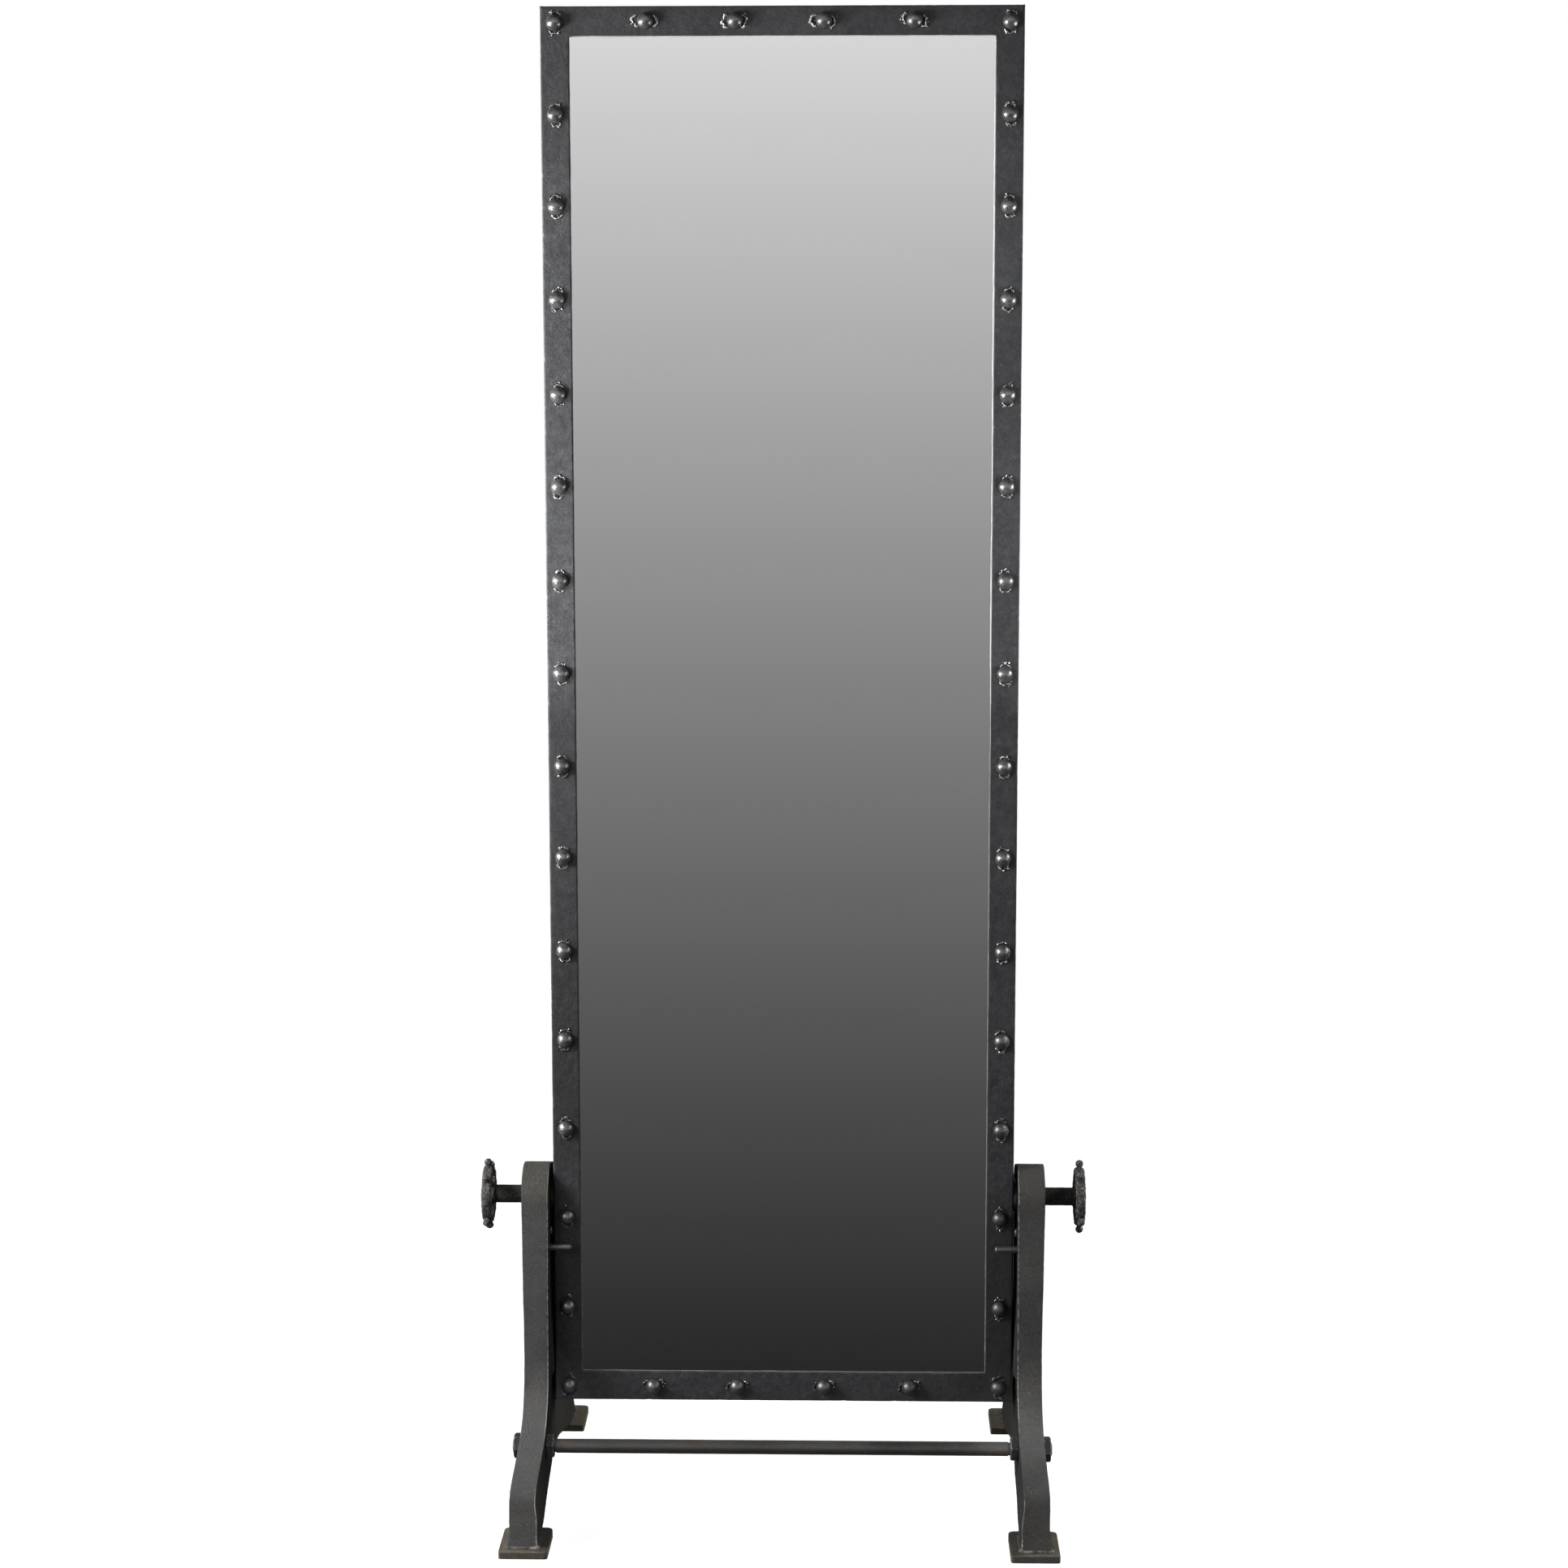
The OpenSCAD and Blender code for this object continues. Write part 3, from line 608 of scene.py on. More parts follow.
def angle_bar(name, width, depth, start, end, r_start, r_end, place, seed, outer_wave=0.25, toe_wave=0.45):
    """A length of angle iron, mitred at both ends.
    The section is (u, v): u inward from the outer side, v back from the face.
    place(u, v, s) maps section and length to the row frame. r_start and r_end are the mitre slopes."""
    step = 1.7 * MM
    t = IRON_T
    outline = [(width, 0), (0, 0), (0, depth), (t, depth), (t, t), (width, t)]
    radii = [0.7 * MM, 2.0 * MM, 0.9 * MM, 0.9 * MM, 0.6 * MM, 0.7 * MM]
    sec, tag = rounded(outline, radii, 4)
    sec, tag = subdivide(sec, tag, step)
    m = len(sec)
    rows = int((end - start) / (step * 1.25))
    s01 = np.linspace(0, 1, rows + 1)
    u = np.repeat(sec[None, :, 0], rows + 1, 0)
    v = np.repeat(sec[None, :, 1], rows + 1, 0)
    lo, hi = start + u * r_start, end - u * r_end
    s = lo + (hi - lo) * s01[:, None]
    # section normals, pointing out of the metal
    dn = np.roll(sec, -1, 0) - np.roll(sec, 1, 0)
    nrm = np.stack([-dn[:, 1], dn[:, 0]], 1)
    nrm /= np.linalg.norm(nrm, axis=1)[:, None]
    mid = sec.mean(0)
    area = 0.5 * np.sum(sec[:, 0] * np.roll(sec[:, 1], -1) - np.roll(sec[:, 0], -1) * sec[:, 1])
    if area > 0:
        nrm = -nrm
    flat = np.stack([u.ravel(), v.ravel(), s.ravel()], 1)
    off = np.array([seed * 3.1, seed * 1.7, seed * 0.9])
    fade = np.minimum(smooth01(s - lo, 0, 6 * MM), smooth01(hi - s, 0, 6 * MM)).ravel()
    heel = np.exp(-((flat[:, 0] / (3.0 * MM)) ** 2 + (flat[:, 1] / (3.0 * MM)) ** 2))
    toe = np.exp(-(((flat[:, 0] - width) / (2.2 * MM)) ** 2))
    backedge = np.exp(-(((flat[:, 1] - depth) / (2.5 * MM)) ** 2))
    # the skin is never quite flat: rolling marks, small dents, scale. It only goes inward.
    skin = 0.10 * fbm(flat + off, 0.060, 2, seed) + 0.05 * fbm(flat + off, 0.010, 3, seed + 1) - 0.14
    line = np.stack([s.ravel() * 0 + 0.1, s.ravel() * 0 + 0.2, s.ravel()], 1) + off
    nick = np.clip(fbm(line, 0.010, 3, seed + 5) - 0.38, 0, 1) * 2.2
    skin = skin - heel * (outer_wave * (0.5 + 0.5 * fbm(line, 0.035, 3, seed + 2)) + 0.5 * nick)
    scuff = np.clip(fbm(flat * np.array([1, 1, 0.6]) + off, 0.016, 3, seed + 9) - 0.42, 0, 1)
    skin = skin - 0.9 * scuff
    toe_in = toe_wave * (0.5 + 0.5 * fbm(line + 7.7, 0.045, 3, seed + 3)) + 0.5 * np.clip(fbm(line + 3.3, 0.008, 2, seed + 4) - 0.35, 0, 1)
    d = skin * MM * fade
    un = np.tile(nrm[:, 0], rows + 1)
    vn = np.tile(nrm[:, 1], rows + 1)
    uu = flat[:, 0] + un * d - toe * toe_in * MM * fade * (un > -0.5)
    vv = flat[:, 1] + vn * d
    pts = place(uu, vv, flat[:, 2])
    edge = 0.72 * heel + 0.75 * toe * (np.abs(flat[:, 1] - t / 2) < t) + 0.6 * backedge + 0.25 * nick * heel
    faces = grid_faces(rows + 1, m, wrap_cols=True)
    faces += [tuple(range(m - 1, -1, -1)), tuple(range(rows * m, rows * m + m))]
    # painted shade on the right stile below about 0.4 m, and on the left stile between about 0.47 and 0.95 m
    painted_shade = smooth01(pts[:, 2], 0.45, 0.34) * smooth01(pts[:, 0], 0.2, X0 - STILE_W)
    painted_shade = painted_shade + smooth01(pts[:, 2], 0.95, 0.62) * smooth01(pts[:, 2], 0.40, 0.47) * smooth01(-pts[:, 0], 0.2, X0 - STILE_W)
    o = make_piece(name, pts, faces, {"edge": edge, "painted_shade": painted_shade})
    bm = bmesh.new()
    bm.from_mesh(o.data)
    bmesh.ops.recalc_face_normals(bm, faces=bm.faces)
    bm.to_mesh(o.data)
    bm.free()
    o.data.set_sharp_from_angle(angle=math.radians(50))
    return wear(o, M_IRON)


def stile_place(side):
    def place(u, v, s):
        return np.stack([side * (X0 - u), FACE_Y + v, s], 1)

    return place


def rail_place(up):
    def place(u, v, s):
        z = FZ1 - u if up else FZ0 + u
        return np.stack([s, FACE_Y + v, z], 1)

    return place


for side, label in ((-1, "left"), (1, "right")):
    o = angle_bar(f"{label}_stile_bar", STILE_W, BACK_Y - FACE_Y, FZ0, FZ1, BOT_W / STILE_W, TOP_W / STILE_W,
                  stile_place(side), seed=11 if side < 0 else 17)
    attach(o, "mirror")
    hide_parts(f"{label}_stile")
for up, label, w in ((True, "top", TOP_W), (False, "bottom", BOT_W)):
    o = angle_bar(f"{label}_rail_bar", w, BACK_Y - FACE_Y, -X0, X0, STILE_W / w, STILE_W / w, rail_place(up), seed=23 if up else 29)
    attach(o, "mirror")
    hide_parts(f"{label}_rail")


# ------------------------------------------------------------------ studs and their tacks


def clusters(node, axis, gap=0.03):
    """Centres of the separate studs in a node, along one axis."""
    co = coords(NODES[node].data)
    co = co[np.argsort(co[:, axis])]
    cuts = np.where(np.diff(co[:, axis]) > gap)[0] + 1
    out = []
    for part in np.split(co, cuts):
        lo, hi = part.min(0), part.max(0)
        out.append(((lo[0] + hi[0]) / 2, (lo[2] + hi[2]) / 2, (hi[0] - lo[0]) / 2))
    return out


def stud_part(x, z, r, rng, dull=0.0):
    rings, seg = ((26, 56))
    th = np.linspace(0.0, math.radians(96), rings + 1)[1:]
    ph = np.linspace(0, 2 * math.pi, seg, endpoint=False)
    T, Pp = np.meshgrid(th, ph, indexing="ij")
    d = np.stack([np.sin(T) * np.cos(Pp), -np.cos(T), np.sin(T) * np.sin(Pp)], -1).reshape(-1, 3)
    d = np.concatenate([[[0, -1.0, 0]], d])
    off = rng.uniform(-5, 5, 3)
    lump = 1 + 0.010 * fbm(d * 0.01 + off, 0.008, 2, 3) + 0.004 * fbm(d * 0.01 + off, 0.0025, 2, 4)
    sx, sz = 1 + rng.uniform(-0.012, 0.004), 1 + rng.uniform(-0.012, 0.004)
    rr = r * 0.992
    p = d * lump[:, None] * rr * np.array([sx, 1.0, sz])
    p[:, 1] = np.minimum(p[:, 1], 0.9 * MM)
    p += np.array([x + rng.uniform(-0.2, 0.2) * MM, FACE_Y - 0.8 * MM, z])
    # where the painted contact shade falls, round the dome's foot
    foot = np.concatenate([[0], smooth01(T, math.radians(66), math.radians(90)).ravel()])
    faces = [(0, 1 + (k + 1) % seg, 1 + k) for k in range(seg)]
    faces += [tuple(i + 1 for i in q) for q in grid_faces(rings, seg, wrap_cols=True)]
    return p, faces, {"foot": foot, "dull": np.full(len(p), dull)}


def tack_part(x, z, r, ang, rng, strength=1.0, width=38.0, reach=4.2, lift=0.10):
    """A weld tack: a lumpy crescent against the stud's foot, with a burnt crater and bright rim."""
    na, nr = ((34, 16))
    a = np.linspace(-1, 1, na)
    s = np.linspace(0, 1, nr)
    A, S = np.meshgrid(a, s, indexing="ij")
    half = math.radians(width * rng.uniform(0.82, 1.15))
    off = rng.uniform(-9, 9, 3)
    probe = np.stack([A.ravel() * 0.02, S.ravel() * 0.006, A.ravel() * 0], 1) + off
    wob = fbm(probe * np.array([1, 0, 0]), 0.0065, 3, 5).reshape(A.shape)
    end = np.sqrt(np.clip(1 - np.abs(A) ** 2.4, 0, 1))
    r0 = r * 0.93
    r1 = r + reach * MM * end * (0.75 + 0.45 * wob) * rng.uniform(0.85, 1.2)
    R = r0 + (r1 - r0) * S
    prof = np.sin(math.pi * np.clip(S * 0.93 + 0.07, 0, 1)) ** 0.7
    rim = np.exp(-(((S - 0.78) / 0.16) ** 2))
    lump = fbm(probe, 0.0030, 3, 6).reshape(A.shape)
    crater = np.exp(-(((A - rng.uniform(-0.25, 0.25)) / 0.34) ** 2)) * np.exp(-(((S - 0.45) / 0.24) ** 2))
    h = (1.9 * prof + 1.3 * rim * end + 1.6 * lump * prof - 1.7 * crater) * end * rng.uniform(0.85, 1.15)
    h = np.clip(h, 0.02, 3.6) * MM
    h[:, -1] = 0.0
    h[0, :] = 0.0
    h[-1, :] = 0.0
    t = math.radians(ang) + A * half
    p = np.stack([x + R * np.cos(t), FACE_Y + 0.25 * MM - h, z + R * np.sin(t)], -1).reshape(-1, 3)
    sides = 0.55 * np.abs(A) ** 1.5
    bright = (0.55 * rim + sides * rim + 0.35 * lump - 0.5 * crater + lift) * strength
    faces = grid_faces(na, nr)
    parts = [(p, faces, {"bright": bright.ravel()})]
    for _ in range(int(rng.integers(3, 7))):
        aa = rng.uniform(-0.95, 0.95)
        ss = rng.uniform(0.55, 1.05)
        tt = math.radians(ang) + aa * half
        rr = r0 + (r + reach * MM * math.sqrt(max(0.0, 1 - abs(aa) ** 2.4)) - r0) * ss
        q = rng.uniform(0.45, 1.15) * MM
        c = np.array([x + rr * math.cos(tt), FACE_Y - 0.6 * MM - q * 0.4, z + rr * math.sin(tt)])
        parts.append(nodule(c, q, rng, float(strength * rng.uniform(0.45, 1.25))))
    return parts


def nodule(c, r, rng, bright):
    nt, np_ = 7, 12
    th = np.linspace(0, math.pi, nt)
    ph = np.linspace(0, 2 * math.pi, np_, endpoint=False)
    T, Pp = np.meshgrid(th[1:-1], ph, indexing="ij")
    d = np.stack([np.sin(T) * np.cos(Pp), -np.cos(T), np.sin(T) * np.sin(Pp)], -1).reshape(-1, 3)
    d = np.concatenate([[[0, -1.0, 0]], d, [[0, 1.0, 0]]])
    off = rng.uniform(-5, 5, 3)
    k = 1 + 0.22 * fbm(d * 0.01 + off, 0.009, 2, 8)
    p = c + d * k[:, None] * r * np.array([rng.uniform(0.8, 1.25), 0.8, rng.uniform(0.8, 1.25)])
    rings = nt - 2
    faces = [(0, 1 + (j + 1) % np_, 1 + j) for j in range(np_)]
    faces += [tuple(i + 1 for i in q) for q in grid_faces(rings, np_, wrap_cols=True)]
    last = len(d) - 1
    base = 1 + (rings - 1) * np_
    faces += [(last, base + j, base + (j + 1) % np_) for j in range(np_)]
    return p, faces, {"bright": np.full(len(d), bright)}


rng = np.random.default_rng(4287)
TOE_X = X0 - STILE_W
for label, axis, node in (("left_stile", 2, "left_stile_studs"), ("right_stile", 2, "right_stile_studs"),
                          ("top_rail", 0, "top_rail_studs"), ("bottom_rail", 0, "bottom_rail_studs")):
    parts, tacks = [], []
    for x, z, r in clusters(node, axis):
        # painted shade: studs darker low on the stiles, most of all on the right, and towards the right of the bottom
        # rail
        if axis == 2:
            dull = (0.15 if x < 0 else 0.90) * float(smooth01(z, 1.0, 0.35))
        else:
            dull = 0.0 if node == "top_rail_studs" else 0.35 + 0.55 * float(smooth01(x, -0.2, 0.25))
        parts.append(stud_part(x, z, r, rng, dull))
        if axis == 2:
            # tacks low on the stiles show less bright metal: painted shade towards the bottom
            low = smooth01(z, 1.1, 0.3)
            for ang in (90, 270):
                tacks += tack_part(x, z, r, ang + rng.uniform(-9, 9), rng, strength=float(1.05 - 0.35 * low), width=37, reach=5.5)
        elif node == "top_rail_studs":
            for ang in (0, 180):
                tacks += tack_part(x, z, r, ang + rng.uniform(-8, 8), rng, strength=1.5, width=42, reach=7.6, lift=0.26)
        else:
            for ang, st in ((20, 0.95), (180, 0.6)):
                tacks += tack_part(x, z, r, ang + rng.uniform(-8, 8), rng, strength=st, width=36, reach=4.8)
    o = wear(merge(f"{label}_stud_domes", parts), M_STUD)
    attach(o, "mirror")
    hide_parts(node)
    o = wear(merge(f"{label}_stud_tacks", tacks), M_WELD)
    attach(o, "mirror")


# ------------------------------------------------------------------ glass and its edge

for node, m in (("mirror_glass", M_MIRROR), ("bedding_tape", M_TAPE), ("backing_board", M_BOARD)):
    wear(NODES[node], m)

GLASS_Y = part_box("mirror_glass")[0].y
DAY_Z0, DAY_Z1 = FZ0 + BOT_W, FZ1 - TOP_W


def edge_reflection_strip(name, a, b, inward, width, height, profile, m, seed):
    """A thin uneven strip along the sight edge of the glass, from a to b, whose pale or grey colour paints the bright
    line that the glass's edge reflects: a painted reflection.
    profile(t) scales its width along the way."""
    n = int((b - a).length / (2.5 * MM))
    k = 7
    t = np.linspace(0, 1, n + 1)
    A, B = np.array(a), np.array(b)
    line = A + (B - A) * t[:, None]
    wob = fbm(line + seed, 0.05, 3, seed) * 0.5 + fbm(line + seed, 0.012, 2, seed + 1) * 0.25
    w = width * np.clip(profile(t) * (1 + wob), 0.02, None)
    hgt = height * np.clip(0.5 + 0.5 * profile(t), 0.1, 1)
    ang = np.linspace(0, math.pi / 2, k)
    V = []
    for q in ang:
        off = inward[None, :] * (w * math.cos(q))[:, None] + np.array([0, -1.0, 0])[None, :] * (hgt * math.sin(q))[:, None]
        V.append(line + off)
    # root behind the flange's toe
    V.append(line - inward[None, :] * 1.2 * MM + np.array([0, -1.0, 0])[None, :] * hgt[:, None])
    V = [line - inward[None, :] * 1.2 * MM] + V
    V = np.stack(V, 1).reshape(-1, 3)
    V[:, 1] = np.minimum(V[:, 1], GLASS_Y + 0.0 * MM)
    o = make_piece(name, V, grid_faces(n + 1, k + 2, wrap_cols=True), smooth=True)
    bm = bmesh.new()
    bm.from_mesh(o.data)
    bmesh.ops.holes_fill(bm, edges=[e for e in bm.edges if e.is_boundary])
    bmesh.ops.recalc_face_normals(bm, faces=bm.faces)
    bm.to_mesh(o.data)
    bm.free()
    wear(o, m)
    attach(o, "mirror")
    return o


GAP = GLASS_Y - (FACE_Y + IRON_T)


# the pale painted reflection runs down the right side from the top to about 1 m, the grey one below
PALE_Z = 1.0


def right_profile(t):
    z = PALE_Z + (DAY_Z1 - PALE_Z) * t
    return 0.05 + 0.95 * smooth01(z, 1.0, 1.15)


edge_reflection_strip("glass_edge_right", Vector((TOE_X, GLASS_Y, PALE_Z)), Vector((TOE_X, GLASS_Y, DAY_Z1)), np.array([-1.0, 0, 0]),
     1.25 * MM, 0.8 * MM, right_profile, M_EDGE_REFLECTION_PALE, 41)
edge_reflection_strip("glass_edge_right_low", Vector((TOE_X, GLASS_Y, DAY_Z0)), Vector((TOE_X, GLASS_Y, PALE_Z)), np.array([-1.0, 0, 0]),
     1.0 * MM, 0.8 * MM, lambda t: 0.75 + 0 * t, M_EDGE_REFLECTION_GREY, 42)
edge_reflection_strip("glass_edge_left", Vector((-TOE_X, GLASS_Y, DAY_Z0)), Vector((-TOE_X, GLASS_Y, DAY_Z1)), np.array([1.0, 0, 0]),
     1.1 * MM, 0.9 * MM, lambda t: 0.8 + 0 * t, M_EDGE_REFLECTION_GREY, 43)
edge_reflection_strip("glass_edge_bottom", Vector((-TOE_X, GLASS_Y, DAY_Z0)), Vector((TOE_X, GLASS_Y, DAY_Z0)), np.array([0, 0, 1.0]),
     0.9 * MM, 0.8 * MM, lambda t: 0.55 + 0.4 * np.sin(t * 23.0) * np.sin(t * 9.0 + 1.0), M_EDGE_REFLECTION_GREY, 47)
edge_reflection_strip("glass_edge_top", Vector((-TOE_X, GLASS_Y, DAY_Z1)), Vector((TOE_X, GLASS_Y, DAY_Z1)), np.array([0, 0, -1.0]),
     0.6 * MM, 0.8 * MM, lambda t: 0.8 + 0 * t, M_EDGE_REFLECTION_PALE, 53)


# ------------------------------------------------------------------ cast legs


def cast_leg(side, label):
    voxel = 1.0 * MM
    o = remeshed(f"{label}_leg_casting", f"{label}_leg", voxel, 1)
    me = o.data
    co, no = coords(me), normals(me)
    seed = 61 if side < 0 else 67
    edge = convexity(me, 2)
    z = co[:, 2]
    lump = 0.22 * fbm(co, 0.030, 3, seed) + 0.10 * fbm(co, 0.008, 2, seed + 1)
    pit = np.clip(fbm(co, 0.0065, 2, seed + 2) - 0.12, 0, 1)
    # slanting hammer wrinkles on the front strip
    c, s = math.cos(math.radians(24)), math.sin(math.radians(24))
    along = side * -1 * co[:, 0] * c + z * s
    across = side * 1 * co[:, 0] * s + z * c
    wr = np.stack([along * 0.22, across, co[:, 1] * 0.2], 1)
    front = smooth01(-no[:, 1], 0.4, 0.9)
    belt = smooth01(z, 0.10, 0.16) * (1 - smooth01(z, 0.27, 0.36)) + 0.45 * np.exp(-(((z - 0.36) / 0.03) ** 2))
    wrinkle = np.abs(fbm(wr, 0.0034, 2, seed + 4)) * front * belt
    shin = (1 - smooth01(z, 0.075, 0.11)) * smooth01(z, 0.0, 0.02)
    rough_shin = fbm(co, 0.0042, 2, seed + 7) * shin
    d = lump - 0.38 * pit * (0.4 + 0.6 * (front if side > 0 else 0.5)) - 0.42 * wrinkle + 0.26 * rough_shin - 0.10
    co = co + no * (d * MM)[:, None]
    # the inner face bellies towards the frame behind the column's front edge
    inner = smooth01(-side * no[:, 0], 0.5, 0.9)
    belly = smooth01(co[:, 1], -14 * MM, 16 * MM) * smooth01(co[:, 2], 0.045, 0.075)
    belly = belly * smooth01(np.hypot(co[:, 1], co[:, 2] - PIVOT_Z), 22 * MM, 29 * MM)
    belly = belly * (1 - smooth01(co[:, 1], 0.060, 0.085))
    co[:, 0] -= side * 2.5 * MM * inner * belly
    # the shins spread a little into their welds
    flare = (1 - smooth01(z, 0.009, 0.034)) ** 1.5
    co[:, 0] += side * MM * flare * (3.0 * smooth01(side * no[:, 0], 0.3, 0.8) - 1.4 * inner)
    co[:, 1] += np.sign(co[:, 1]) * 1.6 * MM * flare * smooth01(no[:, 1] * np.sign(co[:, 1]), 0.3, 0.8)
    set_coords(me, co)
    crest = np.clip(edge / (0.16 * voxel), -1, 1.3)
    ridges = convexity(me, 0) / (0.35 * voxel)
    turn = (0.08, 0.30) if side < 0 else (0.14, 0.40)
    # a worn bright line along the front strip's inner edge
    rub_and_highlight = smooth01(-no[:, 1], 0.20, 0.50) * smooth01(-side * no[:, 0], *turn) * smooth01(edge, 0.0, 0.06 * voxel)
    rub_and_highlight = rub_and_highlight * (1.35 if side < 0 else 0.85)
    if side > 0:
        chip = smooth01(-no[:, 1], 0.1, 0.3) * smooth01(-side * no[:, 0], 0.03, 0.20) * smooth01(z, 0.365, 0.385)
        rub_and_highlight = np.maximum(rub_and_highlight, chip * (0.55 + 0.9 * fbm(co, 0.007, 2, seed + 9)))
        # painted highlight: a bright band across the right leg's front just below the knee
        rub_and_highlight = np.maximum(rub_and_highlight, 0.30 * np.exp(-(((z - 0.044) / 0.006) ** 2)) * front)
    set_attr(me, "edge", np.clip(0.60 * crest + 0.25 * ridges, 0, 1.2))
    set_attr(me, "rub_and_highlight", rub_and_highlight)
    # painted shade: a dark band across the front at the knee, and the inner faces darkened (the outer ones less) as
    # they lie in shade
    knee = (0.52 if side < 0 else 0.34) * smooth01(z, 0.040, 0.056) * (1 - smooth01(z, 0.088, 0.102)) * front
    dark = np.maximum(smooth01(-side * no[:, 0], 0.55, 0.85), 0.35 * smooth01(side * no[:, 0], 0.55, 0.85))
    set_attr(me, "side", np.maximum(dark, knee))
    rust = smooth01(z, 0.385, 0.405) + np.exp(-(((z - 0.19) / 0.05) ** 2)) * 0.10
    rust = rust + (np.exp(-(((z - 0.052) / 0.012) ** 2)) if side < 0 else 0.9 * (1 - smooth01(z, 0.045, 0.065)))
    set_attr(me, "rust", np.clip(rust, 0, 1))
    wear(o, M_CAST if side < 0 else M_CAST_RIGHT_SHADED)
    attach(o, "stand")
    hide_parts(f"{label}_leg")
    return o


for side, label in ((-1, "left"), (1, "right")):
    cast_leg(side, label)


# ------------------------------------------------------------------ feet and welds


def foot_plate(label, where):
    node = f"{label}_{where}_foot"
    voxel = 0.9 * MM
    o = remeshed(f"{node}_plate", node, voxel, 2)
    me = o.data
    seed = 71 + sum(ord(ch) for ch in node)
    edge = convexity(me, 2)
    co, no = coords(me), normals(me)
    d = 0.22 * fbm(co, 0.018, 3, seed) + 0.10 * fbm(co, 0.005, 2, seed + 1) - 0.34
    nick = np.clip(fbm(co, 0.009, 2, seed + 2) - 0.25, 0, 1) * smooth01(edge, 0.05 * voxel, 0.15 * voxel)
    keep_sole = smooth01(co[:, 2], 0.0, 0.6 * MM)
    co = co + no * ((d - 1.8 * nick) * MM * keep_sole)[:, None]
    co[:, 2] = np.maximum(co[:, 2], 0.0)
    set_coords(me, co)
    rubbed = smooth01(no[:, 2], 0.2, 0.5) * smooth01(np.abs(no[:, 1]), 0.2, 0.5)
    set_attr(me, "edge", np.clip(edge / (0.15 * voxel), 0, 1.3))
    set_attr(me, "rub_and_highlight", 0.8 * rubbed * smooth01(-no[:, 1], 0.1, 0.3))
    set_attr(me, "rust", np.full(len(co), 0.8))
    if where == "front":
        # painted shadow of the leg on the top of the plate, beside the leg's inner face
        x_in = np.abs(coords(NODES[f"{label}_leg"].data)[:, 0])[coords(NODES[f"{label}_leg"].data)[:, 2] < 12 * MM].min()
        set_attr(me, "side", 0.62 * smooth01(x_in - np.abs(co[:, 0]), -6 * MM, 3 * MM) * smooth01(no[:, 2], 0.3, 0.7))
    wear(o, M_FOOT)
    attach(o, "stand")
    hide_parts(node)
    return o


def weld_bead(name, path, radius, seed, m=None, bright=0.5, flat=0.8, toe=None):
    """A lumpy fillet of weld along a path, as a chain of overlapping ripples."""
    path = np.asarray(path, float)
    seg = np.linalg.norm(np.diff(path, axis=0), axis=1)
    s = np.concatenate([[0], np.cumsum(seg)])
    n = max(8, int(s[-1] / (0.9 * MM)))
    t = np.linspace(0, s[-1], n)
    line = np.stack([np.interp(t, s, path[:, i]) for i in range(3)], 1)
    tan = np.gradient(line, axis=0)
    tan /= np.linalg.norm(tan, axis=1)[:, None]
    up = np.array([0, 0, 1.0])
    sd = np.cross(tan, up)
    sd /= np.maximum(np.linalg.norm(sd, axis=1), 1e-9)[:, None]
    k = 14
    ph = np.linspace(0, 2 * math.pi, k, endpoint=False)
    ripple = 0.85 + 0.15 * np.cos(t / (2.6 * MM) * 2 * math.pi + 0.8 * fbm(line, 0.01, 2, seed))
    rad = radius * ripple * (1 + 0.35 * fbm(line, 0.008, 3, seed + 1))
    rad *= np.minimum(smooth01(t, -2 * MM, 3 * MM), smooth01(s[-1] - t, -2 * MM, 3 * MM))
    V, Bv = [], []
    for a in ph:
        d = sd * math.cos(a) + up * math.sin(a) * flat
        p = line + d * rad[:, None]
        p = p + d * (0.25 * MM * fbm(p, 0.003, 2, seed + 2))[:, None]
        V.append(p)
        b = bright + 0.5 * fbm(p, 0.006, 2, seed + 3)
        Bv.append(b if toe is None else b * (0.25 + 0.75 * smooth01(np.abs(p[:, 1]), toe - 12 * MM, toe - 3 * MM)))
    V = np.stack(V, 1).reshape(-1, 3)
    Bv = np.stack(Bv, 1).reshape(-1)
    V[:, 2] = np.maximum(V[:, 2], 0.4 * MM)
    faces = grid_faces(n, k, wrap_cols=True)
    faces += [tuple(range(k - 1, -1, -1)), tuple(range((n - 1) * k, n * k))]
    o = wear(make_piece(name, V, faces, {"bright": Bv, "edge": np.clip(Bv, 0, 1)}), m or M_WELD)
    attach(o, "stand")
    return o


LEG_BOX = {lab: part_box(f"{lab}_leg") for lab in ("left", "right")}
for side, label in ((-1, "left"), (1, "right")):
    lo, hi = LEG_BOX[label]
    xin, xout = (hi.x, lo.x) if side < 0 else (lo.x, hi.x)
    co = coords(NODES[f"{label}_leg"].data)
    sole = co[co[:, 2] < 12 * MM]
    xs_in = -1 * side * (np.abs(sole[:, 0]).min()) * -1
    x_a, x_b = side * (np.abs(sole[:, 0]).min() - 1.2 * MM), side * (np.abs(sole[:, 0]).max() + 2.6 * MM)
    y_f = np.abs(sole[:, 1]).max() + 1.2 * MM
    y_b = np.abs(sole[:, 1]).min()
    for where, f in (("front", -1), ("rear", 1)):
        foot_plate(label, where)
        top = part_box(f"{label}_{where}_foot")[1].z
        zt = top + 0.2 * MM
        ring = [(x_a, f * (y_b + 6 * MM), zt), (x_a, f * (y_f - 2 * MM), zt), (x_a + side * 2 * MM, f * y_f, zt),
                (x_b - side * 2 * MM, f * y_f, zt), (x_b, f * (y_f - 2 * MM), zt), (x_b, f * (y_b + 6 * MM), zt)]
        weld_bead(f"{label}_{where}_foot_weld", ring, 3.1 * MM, 81 + side + f * 3, m=M_WELD_DULL, bright=0.62, toe=y_f)


# ------------------------------------------------------------------ handwheels


